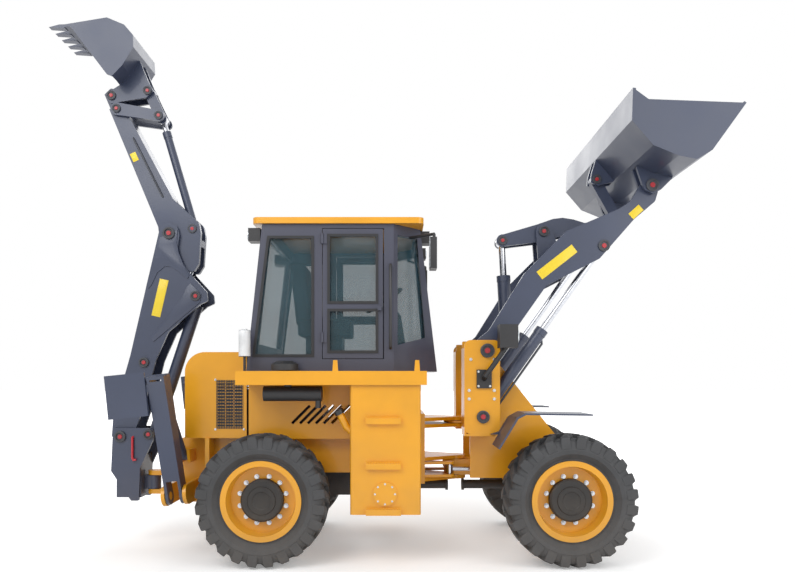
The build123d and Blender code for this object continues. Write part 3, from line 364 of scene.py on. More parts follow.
def cast_iron(name, colour):
    """Black-painted casting with a sandy skin."""
    material, nodes, links, shader, place = new_material(name, 0.55, 0.0)
    skin = noise(nodes, links, place, 9, 6, 0.65)
    base = ramp(nodes, links, skin, [(0.3, tone(colour, 0.7)), (0.7, tone(colour, 1.5))])
    dusty = mix_colour(nodes, links, low_dust(nodes, links, place, 0.9, 0.5), base, (0.20, 0.16, 0.12))
    links.new(dusty, shader.inputs["Base Color"])
    links.new(spread(nodes, links, skin, 0.45, 0.68), shader.inputs["Roughness"])
    bump(nodes, links, noise(nodes, links, place, 170, 5), shader, 0.18, 0.003)
    return material


def moulding(name, colour, roughness):
    """Moulded plastic with a fine grain."""
    material, nodes, links, shader, place = new_material(name, roughness)
    grain = noise(nodes, links, place, 420, 3)
    wide = noise(nodes, links, place, 4, 4)
    links.new(ramp(nodes, links, wide, [(0.3, tone(colour, 0.8)), (0.7, tone(colour, 1.3))]),
              shader.inputs["Base Color"])
    links.new(spread(nodes, links, wide, roughness - 0.06, roughness + 0.08), shader.inputs["Roughness"])
    bump(nodes, links, grain, shader, 0.12, 0.001)
    return material


def tyre_rubber(colour):
    """Rubber with dust in the low places and a dull bloom."""
    material, nodes, links, shader, place = new_material("tyre_rubber", 0.72)
    bloom = noise(nodes, links, place, 5, 6, 0.6)
    base = ramp(nodes, links, bloom, [(0.3, tone(colour, 0.75)), (0.7, tone(colour, 1.35))])
    dusty = mix_colour(nodes, links, low_dust(nodes, links, place, 0.75, 0.55), base, (0.15, 0.13, 0.11))
    links.new(dusty, shader.inputs["Base Color"])
    links.new(spread(nodes, links, bloom, 0.62, 0.82), shader.inputs["Roughness"])
    bump(nodes, links, noise(nodes, links, place, 130, 6), shader, 0.22, 0.004)
    return material


def pane(colour):
    """Tinted sheet glass, with a trace of film on it."""
    material, nodes, links, shader, place = new_material("tinted_glass", 0.03)
    film = noise(nodes, links, place, 3, 5)
    links.new(ramp(nodes, links, film, [(0.3, tone(colour, 0.85)), (0.7, tone(colour, 1.2))]),
              shader.inputs["Base Color"])
    links.new(spread(nodes, links, film, 0.02, 0.06), shader.inputs["Roughness"])
    shader.inputs["Alpha"].default_value = 0.38
    shader.inputs["Specular IOR Level"].default_value = 0.6
    return material


def paint(node, material):
    """Give a CAD node its finish."""
    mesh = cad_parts[node].data
    mesh.materials.clear()
    mesh.materials.append(material)


class BACKHOE_OT_finishes(bpy.types.Operator):
    """Paint every CAD node with its procedural finish"""
    bl_idname = "backhoe.finishes"
    bl_label = "Finishes"

    def execute(self, context):
        colours = context.scene.backhoe_colours
        groups = (
            (YELLOW_NODES, enamel("yellow_enamel", tuple(colours.yellow), 0.34, 0.9, 0.35)),
            (SLATE_NODES, enamel("slate_enamel", tuple(colours.slate), 0.42, 0.8, 0.3)),
            (CAB_NODES, enamel("cab_enamel", tuple(colours.cab), 0.45, 0.5, 0.2)),
            (ROD_NODES, rod_chrome()),
            (IRON_NODES, cast_iron("black_casting", (0.022, 0.022, 0.025))),
            (MOULDED_NODES, moulding("black_moulding", (0.018, 0.018, 0.02), 0.48)),
            (GLASS_NODES, pane(tuple(colours.glass))),
        )
        for names, material in groups:
            for name in names:
                paint(name, material)
        return {"FINISHED"}


# Modelling helpers


def clear_selection():
    """Leave nothing selected and no edit mode open."""
    if bpy.context.object and bpy.context.object.mode != "OBJECT":
        bpy.ops.object.mode_set(mode="OBJECT")
    bpy.ops.object.select_all(action="DESELECT")


def only(piece):
    """Select one piece alone and make it active."""
    clear_selection()
    piece.select_set(True)
    bpy.context.view_layer.objects.active = piece


def open_faces(piece, wanted):
    """Open a piece in edit mode with the faces that pass a test selected."""
    only(piece)
    bpy.ops.object.mode_set(mode="EDIT")
    bpy.ops.mesh.select_mode(type="FACE")
    bpy.ops.mesh.select_all(action="DESELECT")
    bpy.ops.object.mode_set(mode="OBJECT")
    for face in piece.data.polygons:
        face.select = wanted(face)
    bpy.ops.object.mode_set(mode="EDIT")


def close_edit():
    """Go back to object mode."""
    bpy.ops.object.mode_set(mode="OBJECT")


def every(face):
    """The test that all faces pass."""
    return True


def round_end(axis, sign):
    """A test for the round end that looks along an axis: 0, 1 or 2, and 1 or -1."""
    return lambda face: face.normal[axis] * sign > 0.95 and len(face.vertices) > 8


def step_end(piece, wanted, steps, each=False):
    """Step a round end by insets of a width and a rise."""
    for width, rise in steps:
        open_faces(piece, wanted)
        bpy.ops.mesh.inset(thickness=width, depth=rise, use_individual=each)
        close_edit()


def extrude(x, y, z):
    """Carry the selected faces on by a step."""
    bpy.ops.mesh.extrude_region_move(TRANSFORM_OT_translate={"value": (x, y, z)})


def round_off(offset, segments):
    """Bevel the edges of the selected faces and go back to object mode."""
    bpy.ops.mesh.bevel(offset=offset, segments=segments, affect="EDGES")
    close_edit()


def facing(side):
    """The turn that makes a model that looks towards -Y look outwards on a side."""
    return Matrix.Rotation(0 if side < 0 else math.pi, 4, "Z")


def settle(piece, name, material, angle=30):
    """Apply a piece's place to its mesh, smooth it by angle and give it its finish."""
    only(piece)
    bpy.ops.object.transform_apply(location=True, rotation=True, scale=True)
    bpy.ops.object.mode_set(mode="EDIT")
    bpy.ops.mesh.select_all(action="SELECT")
    bpy.ops.mesh.normals_make_consistent(inside=False)
    bpy.ops.object.mode_set(mode="OBJECT")
    bpy.ops.object.shade_smooth_by_angle(angle=math.radians(angle))
    piece.name = name
    piece.data.name = name
    if material:
        piece.data.materials.clear()
        piece.data.materials.append(material)
    return piece


def copy_of(model, name, place):
    """A copy of a model with its own mesh, carried by a matrix."""
    piece = model.copy()
    piece.data = model.data.copy()
    piece.data.transform(place)
    if place.determinant() < 0:
        piece.data.flip_normals()
    piece.name = name
    piece.data.name = name
    bpy.context.collection.objects.link(piece)
    return piece


def join(pieces, name):
    """Several pieces joined as one."""
    clear_selection()
    for piece in pieces:
        piece.select_set(True)
    bpy.context.view_layer.objects.active = pieces[0]
    if len(pieces) > 1:
        bpy.ops.object.join()
    pieces[0].name = name
    pieces[0].data.name = name
    return pieces[0]


def drop(model):
    """Remove a model once its copies are made."""
    mesh = model.data
    bpy.data.objects.remove(model)
    bpy.data.meshes.remove(mesh)


def carried(piece, body):
    """Let a piece ride on a body."""
    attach(piece, body)
    return piece


def drum(radius, depth, vertices=32, place=(0, 0, 0), turn=(math.pi / 2, 0, 0)):
    """A cylinder to shape further, along Y unless turned, with its place still on the object."""
    clear_selection()
    bpy.ops.mesh.primitive_cylinder_add(
        vertices=vertices, radius=radius, depth=depth, end_fill_type="NGON", location=place, rotation=turn)
    return bpy.context.object


def flat_sheet(outline, y, thickness, bevel=0.003):
    """A plate from its outline in X and Z, extruded along Y away from the middle and bevelled."""
    clear_selection()
    bpy.ops.mesh.primitive_circle_add(vertices=len(outline), radius=1, fill_type="NGON")
    piece = bpy.context.object
    for vertex, (x, z) in zip(piece.data.vertices, outline):
        vertex.co = (x, y, z)
    open_faces(piece, every)
    outward = math.copysign(thickness, y)
    extrude(0, outward, 0)
    close_edit()
    if bevel:
        middle = abs(y) + thickness / 2
        open_faces(piece, lambda face: abs(face.normal.y) > 0.9 and abs(face.center.y) > middle)
        round_off(bevel, 2)
    return piece


def ring_sheet(outline, y, thickness, width):
    """A frame that follows an outline, such as a window's rubber."""
    clear_selection()
    bpy.ops.mesh.primitive_circle_add(vertices=len(outline), radius=1, fill_type="NGON")
    piece = bpy.context.object
    for vertex, (x, z) in zip(piece.data.vertices, outline):
        vertex.co = (x, y, z)
    open_faces(piece, every)
    bpy.ops.mesh.inset(thickness=width, use_even_offset=True)
    bpy.ops.mesh.delete(type="FACE")
    bpy.ops.mesh.select_all(action="SELECT")
    extrude(0, math.copysign(thickness, y), 0)
    close_edit()
    return piece


def both_sides(piece, name, body):
    """Carry a right-hand piece and its mirror image; {} in the body's name stands for the side."""
    other = copy_of(piece, f"{name}_left", Matrix.Scale(-1, 4, (0, 1, 0)))
    carried(piece, body.format("right"))
    carried(other, body.format("left"))


def mm(*points):
    """Points in millimetres carried to metres."""
    return [tuple(value / 1000 for value in point) for point in points]


# Tyres, with their lugs


class BACKHOE_OT_tyres(bpy.types.Operator):
    """Model one lugged tyre and stand a copy in for each CAD tyre"""
    bl_idname = "backhoe.tyres"
    bl_label = "Tyres"

    def execute(self, context):
        sizes = context.scene.backhoe_wheels
        rubber = tyre_rubber(tuple(context.scene.backhoe_colours.rubber))
        tyre = self.carcass(sizes)
        lug = self.lug(sizes)
        lugs = []
        for side in (1, -1):
            for i in range(sizes.lug_count):
                turn = 2 * math.pi * (i + (0.5 if side < 0 else 0)) / sizes.lug_count
                place = Matrix.Rotation(turn, 4, "Y") @ Matrix.Scale(side, 4, (0, 1, 0))
                lugs.append(copy_of(lug, "lug", place))
        drop(lug)
        model = settle(join([tyre] + lugs, "tyre_model"), "tyre_model", rubber, 25)
        for wheel in WHEELS:
            low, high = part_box(f"tyre_{wheel}")
            middle = [(a + b) / 2 for a, b in zip(low, high)]
            piece = copy_of(model, f"lugged_tyre_{wheel}", Matrix.Translation(middle))
            carried(piece, f"wheel_{wheel}")
            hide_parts(f"tyre_{wheel}")
        drop(model)
        return {"FINISHED"}

    def carcass(self, sizes):
        """The tyre's ring: crown, shoulders, bulged sidewalls and beads."""
        half = sizes.tyre_width / 2
        tyre = drum(sizes.crown_radius, 2 * half - 0.03, 96)
        bpy.ops.object.transform_apply(rotation=True)
        end = lambda face: abs(face.normal.y) > 0.95 and len(face.vertices) > 8
        open_faces(tyre, end)
        round_off(0.05, 4)
        step_end(tyre, end, SIDEWALL_STEPS, True)
        reach = max(math.hypot(vertex.co.x, vertex.co.z) for face in tyre.data.polygons if end(face)
                    for vertex in (tyre.data.vertices[i] for i in face.vertices))
        open_faces(tyre, end)
        bpy.ops.mesh.inset(thickness=reach - sizes.bead_radius, depth=0, use_individual=True)
        bpy.ops.mesh.bridge_edge_loops()
        close_edit()
        return tyre

    def lug(self, sizes):
        """One lug of the right half: a slanted bar with a block down the shoulder."""
        clear_selection()
        bpy.ops.mesh.primitive_cube_add(size=1)
        lug = bpy.context.object
        half = sizes.tyre_width / 2
        root, top, width = sizes.crown_radius - 0.012, sizes.lug_radius, sizes.lug_width
        for vertex in lug.data.vertices:
            outer = vertex.co.y > 0
            slant = 0 if outer else sizes.lug_slant
            narrow = 0.5 * (width - (0.016 if vertex.co.z > 0 else 0))
            x = slant + math.copysign(narrow, vertex.co.x)
            reach = (top - (0.010 if outer else 0)) if vertex.co.z > 0 else root
            vertex.co = (x, half - 0.035 if outer else 0.008, math.sqrt(reach * reach - x * x))
        open_faces(lug, lambda face: face.normal.y > 0.5)
        extrude(0, 0.031, -0.012)
        close_edit()
        open_faces(lug, lambda face: face.normal.z < -0.7 and face.center.y > half - 0.03)
        extrude(0, 0.002, -0.062)
        close_edit()
        open_faces(lug, lambda face: face.normal.z > 0.6 or face.normal.y > 0.8)
        round_off(0.005, 1)
        return lug


# Wheel hubs and their nuts


class BACKHOE_OT_hubs(bpy.types.Operator):
    """Model the planetary hub's cover and its ring of nuts for each wheel"""
    bl_idname = "backhoe.hubs"
    bl_label = "Hubs"

    def execute(self, context):
        sizes = context.scene.backhoe_wheels
        black = cast_iron("hub_black", (0.006, 0.006, 0.007))
        bright = plated("nut_plate", (0.55, 0.56, 0.58))
        cover = self.cover(black)
        nut = self.nut(bright)
        for wheel in WHEELS:
            low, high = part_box(f"rim_{wheel}")
            side = -1 if "right" in wheel else 1
            x, z = (low[0] + high[0]) / 2, (low[2] + high[2]) / 2
            face = side * (sizes.track / 2 + sizes.disc_out)
            place = Matrix.Translation((x, face, z)) @ facing(side)
            carried(copy_of(cover, f"hub_cover_{wheel}", place), f"wheel_{wheel}")
            nuts = []
            for i in range(sizes.nut_count):
                angle = 2 * math.pi * (i + 0.5) / sizes.nut_count
                reach = sizes.nut_circle
                spot = Matrix.Translation((reach * math.cos(angle), 0, reach * math.sin(angle)))
                nuts.append(copy_of(nut, "nut", place @ spot))
            carried(join(nuts, f"wheel_nuts_{wheel}"), f"wheel_{wheel}")
        drop(cover)
        drop(nut)
        return {"FINISHED"}

    def cover(self, black):
        """The stepped cover, its foot on the rim's disc at Y = 0 and its face towards -Y."""
        cover = drum(0.1885, 0.0665, 48, (0, -0.0333, 0))
        bpy.ops.object.transform_apply(location=True, rotation=True)
        front = round_end(1, -1)
        step_end(cover, front, COVER_STEPS)
        open_faces(cover, front)
        round_off(0.003, 2)
        return settle(cover, "hub_cover_model", black)

    def nut(self, bright):
        """A flanged wheel nut on its stud, standing towards -Y."""
        nut = drum(0.022, 0.010, 12, (0, -0.005, 0))
        bpy.ops.object.transform_apply(location=True, rotation=True)
        front = round_end(1, -1)
        for width, push in ((0.006, 0), (0.0, 0.016), (0.005, 0), (0.0, 0.008)):
            open_faces(nut, front)
            if width:
                bpy.ops.mesh.inset(thickness=width, depth=push)
            else:
                extrude(0, -push, 0)
            close_edit()
        return settle(nut, "nut_model", bright)


# Pin heads


class BACKHOE_OT_pin_heads(bpy.types.Operator):
    """Model one pin's end cap and set a copy on both ends of every linkage pin"""
    bl_idname = "backhoe.pin_heads"
    bl_label = "Pin heads"

    def execute(self, context):
        steel = cast_iron("pin_steel", (0.045, 0.048, 0.056))
        red = enamel("pin_red", (0.42, 0.02, 0.03), 0.45, 0.2, 0.1)
        cap = drum(1.0, 1.0, 24, (0, -0.5, 0))
        bpy.ops.object.transform_apply(location=True, rotation=True)
        step_end(cap, round_end(1, -1), PIN_STEPS)
        settle(cap, "pin_cap", steel)
        cap.data.materials.append(red)
        for face in cap.data.polygons:
            if math.hypot(face.center.x, face.center.z) < 0.42 and face.center.y < -0.6:
                face.material_index = 1
        for body, pins in PIN_HEADS.items():
            heads = []
            for x, z, seat, depth, radius in pins:
                size = Matrix.Diagonal((radius, depth, radius, 1))
                for side in (-1, 1):
                    place = Matrix.Translation((x, side * seat, z)) @ facing(side) @ size
                    heads.append(copy_of(cap, "head", place))
            carried(join(heads, f"pin_heads_{body}"), body)
        drop(cap)
        return {"FINISHED"}


# Plates on the arms


class BACKHOE_OT_plates(bpy.types.Operator):
    """Add the boom's doubler plates and the blank label plates"""
    bl_idname = "backhoe.plates"
    bl_label = "Plates"

    def execute(self, context):
        colours = context.scene.backhoe_colours
        slate = enamel("plate_slate", tuple(colours.slate), 0.42, 0.8, 0.3)
        label = enamel("label_yellow", (0.84, 0.62, 0.02), 0.5, 0.2, 0.1)
        for name, body, face, thickness, outline in PLATES:
            sheet = flat_sheet(mm(*outline), -face, thickness, thickness * 0.35)
            piece = settle(sheet, f"{name}_right", slate)
            both_sides(piece, name, body)
        for name, body, face, x, z, wide, high, turn in LABELS:
            corners = []
            c, s = math.cos(math.radians(turn)), math.sin(math.radians(turn))
            for dx, dz in ((-wide, -high), (wide, -high), (wide, high), (-wide, high)):
                corners.append(((x + dx / 2 * c - dz / 2 * s) / 1000, (z + dx / 2 * s + dz / 2 * c) / 1000))
            piece = settle(flat_sheet(corners, -face, 0.0022, 0.0008), f"{name}_right", label)
            both_sides(piece, name, body)
        return {"FINISHED"}


# Cab trim


class BACKHOE_OT_cab_trim(bpy.types.Operator):
    """Add the window rubbers, the grab rails and the mirror glass"""
    bl_idname = "backhoe.cab_trim"
    bl_label = "Cab trim"

    def execute(self, context):
        black = moulding("trim_rubber", (0.012, 0.012, 0.014), 0.6)
        rail = enamel("rail_black", (0.014, 0.014, 0.016), 0.4, 0.2, 0.05)
        silver = plated("mirror_glass", (0.62, 0.65, 0.68))
        for name, body, face, width, outline in RUBBERS:
            piece = settle(ring_sheet(mm(*outline), -face, 0.009, width), f"{name}_right", black, 40)
            both_sides(piece, name, body)
        for name, body, radius, points in RODS:
            piece = bent_rod(mm(*points), radius, f"{name}_right", rail)
            both_sides(piece, name, body)
        for side, own in ((-1, "right"), (1, "left")):
            clear_selection()
            x, y, z = MIRROR_PLACE
            bpy.ops.mesh.primitive_cube_add(size=1, location=(x, side * y, z))
            face = context.object
            bpy.ops.transform.resize(value=MIRROR_SIZE)
            bpy.ops.object.transform_apply(location=True, scale=True)
            open_faces(face, lambda item: item.normal.x < -0.9)
            round_off(0.0015, 2)
            carried(settle(face, f"mirror_face_{own}", silver), "rear_frame")
        return {"FINISHED"}


def bent_rod(points, radius, name, material):
    """A round bar along a bent line: a disc extruded from point to point, mitred at each bend."""
    clear_selection()
    spots = [Vector(point) for point in points]
    ways = [(b - a).normalized() for a, b in zip(spots, spots[1:])]
    bpy.ops.mesh.primitive_circle_add(
        vertices=10, radius=radius, fill_type="NGON", location=spots[0],
        rotation=ways[0].to_track_quat("Z", "Y").to_euler())
    bar = bpy.context.object
    bpy.ops.object.transform_apply(location=True, rotation=True)
    open_faces(bar, every)
    for i, way in enumerate(ways):
        bpy.ops.mesh.extrude_region_move(TRANSFORM_OT_translate={"value": spots[i + 1] - spots[i]})
        bpy.ops.object.mode_set(mode="OBJECT")
        mitre = (way + ways[min(i + 1, len(ways) - 1)]).normalized()
        for vertex in bar.data.vertices:
            if vertex.select:
                vertex.co += way * ((spots[i + 1] - vertex.co).dot(mitre) / way.dot(mitre))
        bpy.ops.object.mode_set(mode="EDIT")
    close_edit()
    return settle(bar, name, material, 50)


# Lamps


class BACKHOE_OT_lamps(bpy.types.Operator):
    """Add the lamps' lenses with their rims, the beacon's dome and the white coolant bottle"""
    bl_idname = "backhoe.lamps"
    bl_label = "Lamps and bottle"

    def execute(self, context):
        clear = plated("lamp_lens", (0.70, 0.74, 0.78))
        amber = moulding("amber_lens", (0.82, 0.17, 0.01), 0.22)
        white = moulding("bottle_white", (0.66, 0.67, 0.68), 0.4)
        for name, body, x, y, z, radius, way in LENSES:
            lens = drum(radius, 0.008, 28, turn=(0, math.pi / 2, 0))
            bpy.ops.object.transform_apply(rotation=True)
            step_end(lens, round_end(0, 1), LENS_STEPS)
            settle(lens, f"{name}_model", clear, 20)
            turn = Matrix.Rotation(0 if way > 0 else math.pi, 4, "Z")
            for side, own in ((-1, "right"), (1, "left")):
                spot = Matrix.Translation((x + way * 0.004, side * y, z))
                carried(copy_of(lens, f"{name}_{own}", spot @ turn), body)
            drop(lens)
        place, radius, height = DOME
        dome = drum(radius, height, 32, place, (0, 0, 0))
        bpy.ops.object.transform_apply(location=True)
        open_faces(dome, lambda face: face.normal.z > 0.95)
        round_off(0.012, 4)
        step_end(dome, round_end(2, 1), DOME_STEPS)
        carried(settle(dome, "beacon_dome", amber), "rear_frame")
        place, radius, height = BOTTLE
        bottle = drum(radius, height, 32, place, (0, 0, 0))
        bpy.ops.object.transform_apply(location=True)
        open_faces(bottle, lambda face: abs(face.normal.z) > 0.95)
        round_off(0.008, 3)
        step_end(bottle, round_end(2, 1), BOTTLE_STEPS)
        carried(settle(bottle, "white_bottle", white), "rear_frame")
        return {"FINISHED"}


# Fasteners and grips on the body


class BACKHOE_OT_fasteners(bpy.types.Operator):
    """Set hexagon bolts on covers, grilles, towers and plates, and grips on the steps"""
    bl_idname = "backhoe.fasteners"
    bl_label = "Fasteners and grips"

    def execute(self, context):
        bright = plated("bolt_plate", (0.60, 0.60, 0.58))
        grip = enamel("grip_yellow", tuple(context.scene.backhoe_colours.yellow), 0.45, 0.9, 0.35)
        bolt = drum(1.0, 0.3, 12, (0, -0.15, 0))
        bpy.ops.object.transform_apply(location=True, rotation=True)
        front = round_end(1, -1)
        open_faces(bolt, front)
        bpy.ops.mesh.inset(thickness=0.25)
        extrude(0, -0.7, 0)
        bpy.ops.mesh.inset(thickness=0.12, depth=0.1)
        close_edit()
        settle(bolt, "bolt_model", bright)
        for name, body, face, radius, spots in BOLTS:
            heads = []
            for x, z in mm(*spots):
                for side in (-1, 1):
                    size = Matrix.Diagonal((radius, radius, radius, 1))
                    place = Matrix.Translation((x, side * face, z)) @ facing(side) @ size
                    heads.append(copy_of(bolt, "head", place))
            carried(join(heads, name), body)
        drop(bolt)
        clear_selection()
        bpy.ops.mesh.primitive_cube_add(size=0.012)
        tooth = context.object
        open_faces(tooth, lambda face: face.normal.z > 0.9)
        bpy.ops.mesh.inset(thickness=0.002, depth=0.003)
        close_edit()
        settle(tooth, "tooth_model", grip)
        teeth = []
        first, pitch, count, out = GRIP_ROW
        for z in STEP_HEIGHTS:
            for i in range(count):
                for side in (-1, 1):
                    spot = (first + i * pitch, side * out, z + 0.0565)
                    teeth.append(copy_of(tooth, "tooth", Matrix.Translation(spot)))
        carried(join(teeth, "step_grips"), "rear_frame")
        drop(tooth)
        return {"FINISHED"}


# Rigid oil lines and the red hook


class BACKHOE_OT_lines(bpy.types.Operator):
    """Lay the rigid oil lines along the rams and arms, and hang the red hook"""
    bl_idname = "backhoe.lines"
    bl_label = "Oil lines and hook"

    def execute(self, context):
        dark = enamel("line_dark", (0.030, 0.034, 0.046), 0.4, 0.2, 0.1)
        red = enamel("hook_red", (0.50, 0.015, 0.03), 0.4, 0.3, 0.1)
        for name, body, radius, points in LINES:
            piece = bent_rod(mm(*points), radius, f"{name}_right", dark)
            both_sides(piece, name, body)
        hook = bent_rod(mm(*HOOK), 0.011, "red_hook", red)
        carried(hook, "swing_post")
        return {"FINISHED"}


# Grille and filler


class BACKHOE_OT_grille(bpy.types.Operator):
    """Weave the black grille mesh over the hood's openings and add the filler neck with its cap"""
    bl_idname = "backhoe.grille"
    bl_label = "Grille and filler"

    def execute(self, context):
        black = enamel("grille_black", (0.008, 0.008, 0.009), 0.45, 0.2, 0.05)
        yellow = enamel("neck_yellow", tuple(context.scene.backhoe_colours.yellow), 0.34, 0.9, 0.35)
        clear_selection()
        bpy.ops.mesh.primitive_grid_add(x_subdivisions=16, y_subdivisions=30, size=1)
        mesh = context.object
        bpy.ops.transform.resize(value=(GRILLE[1] - GRILLE[0], GRILLE[3] - GRILLE[2], 1))
        mesh.rotation_euler = (math.pi / 2, 0, 0)
        mesh.location = ((GRILLE[0] + GRILLE[1]) / 2, -GRILLE[4], (GRILLE[2] + GRILLE[3]) / 2)
        bpy.ops.object.transform_apply(location=True, rotation=True, scale=True)
        open_faces(mesh, every)
        bpy.ops.mesh.inset(thickness=0.0028, use_individual=True)
        bpy.ops.mesh.delete(type="FACE")
        bpy.ops.mesh.select_all(action="SELECT")
        extrude(0, -0.004, 0)
        close_edit()
        settle(mesh, "grille_mesh_right", black, 30)
        both_sides(mesh, "grille_mesh", "rear_frame")
        neck = bent_rod(mm(*FILLER), 0.034, "filler_neck", yellow)
        carried(neck, "rear_frame")
        low, high = Vector(mm(FILLER[-2])[0]), Vector(mm(FILLER[-1])[0])
        way = (high - low).normalized()
        cap = drum(0.045, 0.040, 20, high + way * 0.012, way.to_track_quat("Z", "Y").to_euler())
        bpy.ops.object.transform_apply(location=True, rotation=True)
        open_faces(cap, lambda face: len(face.vertices) > 8 and face.normal.dot(way) > 0.9)
        bpy.ops.mesh.inset(thickness=0.010, depth=0.006)
        round_off(0.002, 2)
        carried(settle(cap, "filler_cap", black), "rear_frame")
        return {"FINISHED"}


# The driver's cushions


class BACKHOE_OT_cushions(bpy.types.Operator):
    """Model the driver's padded cushion and back over the CAD pan"""
    bl_idname = "backhoe.cushions"
    bl_label = "Driver's cushions"

    def execute(self, context):
        cloth = moulding("cushion_cloth", (0.030, 0.030, 0.034), 0.8)
        for name, place, size, lean in CUSHIONS:
            clear_selection()
            bpy.ops.mesh.primitive_cube_add(size=1, location=place)
            pad = context.object
            bpy.ops.transform.resize(value=size)
            bpy.ops.object.transform_apply(location=True, scale=True)
            if lean:
                open_faces(pad, lambda face: face.normal.z > 0.9)
                bpy.ops.transform.translate(value=(lean, 0, 0))
                close_edit()
            open_faces(pad, every)
            round_off(0.03, 4)
            thin = size.index(min(size))
            open_faces(pad, lambda face: face.area > 0.1 and abs(face.normal[thin]) > 0.9)
            bpy.ops.mesh.inset(thickness=0.03, depth=0.0)
            bpy.ops.mesh.inset(thickness=0.012, depth=-0.006)
            bpy.ops.mesh.inset(thickness=0.02, depth=0.008)
            round_off(0.004, 2)
            carried(settle(pad, name, cloth, 60), "rear_frame")
        return {"FINISHED"}


# Stage


class BACKHOE_OT_stage(bpy.types.Operator):
    """Add the floor, the studio light and the camera"""
    bl_idname = "backhoe.stage"
    bl_label = "Stage"

    def execute(self, context):
        sizes = context.scene.backhoe_stage
        clear_selection()
        bpy.ops.mesh.primitive_plane_add(size=sizes.floor_size, location=(0, 0, -0.001))
        floor = context.object
        floor.name = "studio_floor"
        floor.data.materials.append(floor_finish())
        for name, place, size, power in STUDIO_LAMPS:
            bpy.ops.object.light_add(type="AREA", location=place)
            lamp = context.object
            lamp.name = name
            lamp.data.size = size
            lamp.data.energy = power
            lamp.rotation_euler = (Vector((0, 0, 1.6)) - Vector(place)).to_track_quat("-Z", "Y").to_euler()
        world = bpy.data.worlds.new("studio")
        context.scene.world = world
        studio_sky(world)
        bpy.ops.object.camera_add(
            location=(sizes.camera_x, -sizes.camera_back, sizes.camera_height), rotation=(math.pi / 2, 0, 0))
        camera = context.object
        camera.name = "photo_camera"
        camera.data.lens = sizes.lens
        camera.data.sensor_width = 36
        camera.data.shift_x = 0.0019
        camera.data.shift_y = 0.1157
        context.scene.camera = camera
        context.scene.view_settings.view_transform = "Standard"
        return {"FINISHED"}


def floor_finish():
    """A pale matt floor that stays near white where no shadow falls."""
    material, nodes, links, shader, place = new_material("pale_floor", 0.9)
    cloud = noise(nodes, links, place, 0.4, 3)
    links.new(ramp(nodes, links, cloud, [(0.3, (0.86, 0.86, 0.86)), (0.7, (0.90, 0.90, 0.90))]),
              shader.inputs["Base Color"])
    shader.inputs["Specular IOR Level"].default_value = 0.0
    shader.inputs["Emission Color"].default_value = (1, 1, 1, 1)
    length = nodes.new("ShaderNodeVectorMath")
    length.operation = "LENGTH"
    links.new(place, length.inputs[0])
    away = nodes.new("ShaderNodeMapRange")
    away.inputs["From Min"].default_value = 3.0
    away.inputs["From Max"].default_value = 9.0
    away.inputs["To Min"].default_value = 0.25
    away.inputs["To Max"].default_value = 1.0
    links.new(length.outputs["Value"], away.inputs["Value"])
    seen = nodes.new("ShaderNodeMath")
    seen.operation = "MULTIPLY"
    links.new(away.outputs["Result"], seen.inputs[0])
    links.new(seen_rays(nodes, links), seen.inputs[1])
    links.new(seen.outputs["Value"], shader.inputs["Emission Strength"])
    return material


def seen_rays(nodes, links):
    """One for rays from the camera, in gloss and through glass, and nought for the rest."""
    path = nodes.new("ShaderNodeLightPath")
    total = path.outputs["Is Camera Ray"]
    for name in ("Is Glossy Ray", "Is Transmission Ray"):
        either = nodes.new("ShaderNodeMath")
        either.operation = "MAXIMUM"
        links.new(total, either.inputs[0])
        links.new(path.outputs[name], either.inputs[1])
        total = either.outputs["Value"]
    return total


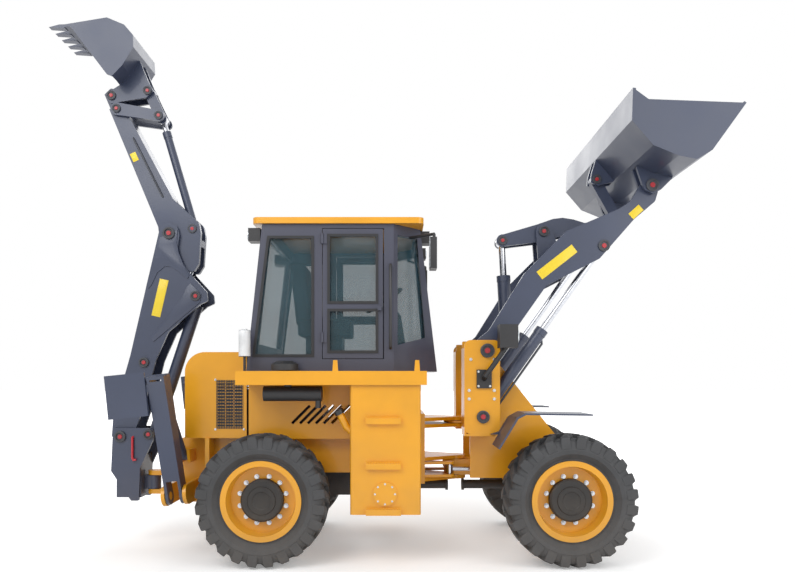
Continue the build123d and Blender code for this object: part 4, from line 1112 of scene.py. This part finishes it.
def studio_sky(world):
    """Soft grey light, white to the camera and in gloss and glass."""
    world.use_nodes = True
    nodes, links = world.node_tree.nodes, world.node_tree.links
    background = nodes["Background"]
    background.inputs["Color"].default_value = (1, 1, 1, 1)
    strength = nodes.new("ShaderNodeMapRange")
    strength.inputs["To Min"].default_value = 0.62
    strength.inputs["To Max"].default_value = 1.0
    links.new(seen_rays(nodes, links), strength.inputs["Value"])
    links.new(strength.outputs["Result"], background.inputs["Strength"])


class BACKHOE_PT_panel(bpy.types.Panel):
    """Operators and values of the backhoe loader"""
    bl_label = "Backhoe loader"
    bl_idname = "BACKHOE_PT_panel"
    bl_space_type = "VIEW_3D"
    bl_region_type = "UI"
    bl_category = "Backhoe"

    def draw(self, context):
        for operator in OPERATORS:
            self.layout.operator(operator.bl_idname)
        scene = context.scene
        for group in (scene.backhoe_colours, scene.backhoe_wheels, scene.backhoe_stage):
            column = self.layout.column()
            for name in group.__annotations__:
                column.prop(group, name)


OPERATORS = (BACKHOE_OT_finishes, BACKHOE_OT_tyres, BACKHOE_OT_hubs, BACKHOE_OT_pin_heads, BACKHOE_OT_plates,
             BACKHOE_OT_cab_trim, BACKHOE_OT_lamps, BACKHOE_OT_fasteners, BACKHOE_OT_lines,
             BACKHOE_OT_grille, BACKHOE_OT_cushions, BACKHOE_OT_stage)
CLASSES = (PaintColours, WheelSizes, StageSizes) + OPERATORS + (BACKHOE_PT_panel,)


def register():
    for item in CLASSES:
        bpy.utils.register_class(item)
    bpy.types.Scene.backhoe_colours = PointerProperty(type=PaintColours)
    bpy.types.Scene.backhoe_wheels = PointerProperty(type=WheelSizes)
    bpy.types.Scene.backhoe_stage = PointerProperty(type=StageSizes)


def unregister():
    del bpy.types.Scene.backhoe_stage
    del bpy.types.Scene.backhoe_wheels
    del bpy.types.Scene.backhoe_colours
    for item in reversed(CLASSES):
        bpy.utils.unregister_class(item)


def main():
    """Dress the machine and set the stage."""
    register()
    bpy.ops.backhoe.finishes()
    bpy.ops.backhoe.tyres()
    bpy.ops.backhoe.hubs()
    bpy.ops.backhoe.pin_heads()
    bpy.ops.backhoe.plates()
    bpy.ops.backhoe.cab_trim()
    bpy.ops.backhoe.lamps()
    bpy.ops.backhoe.fasteners()
    bpy.ops.backhoe.lines()
    bpy.ops.backhoe.grille()
    bpy.ops.backhoe.cushions()
    bpy.ops.backhoe.stage()


if __name__ == "__main__":
    main()
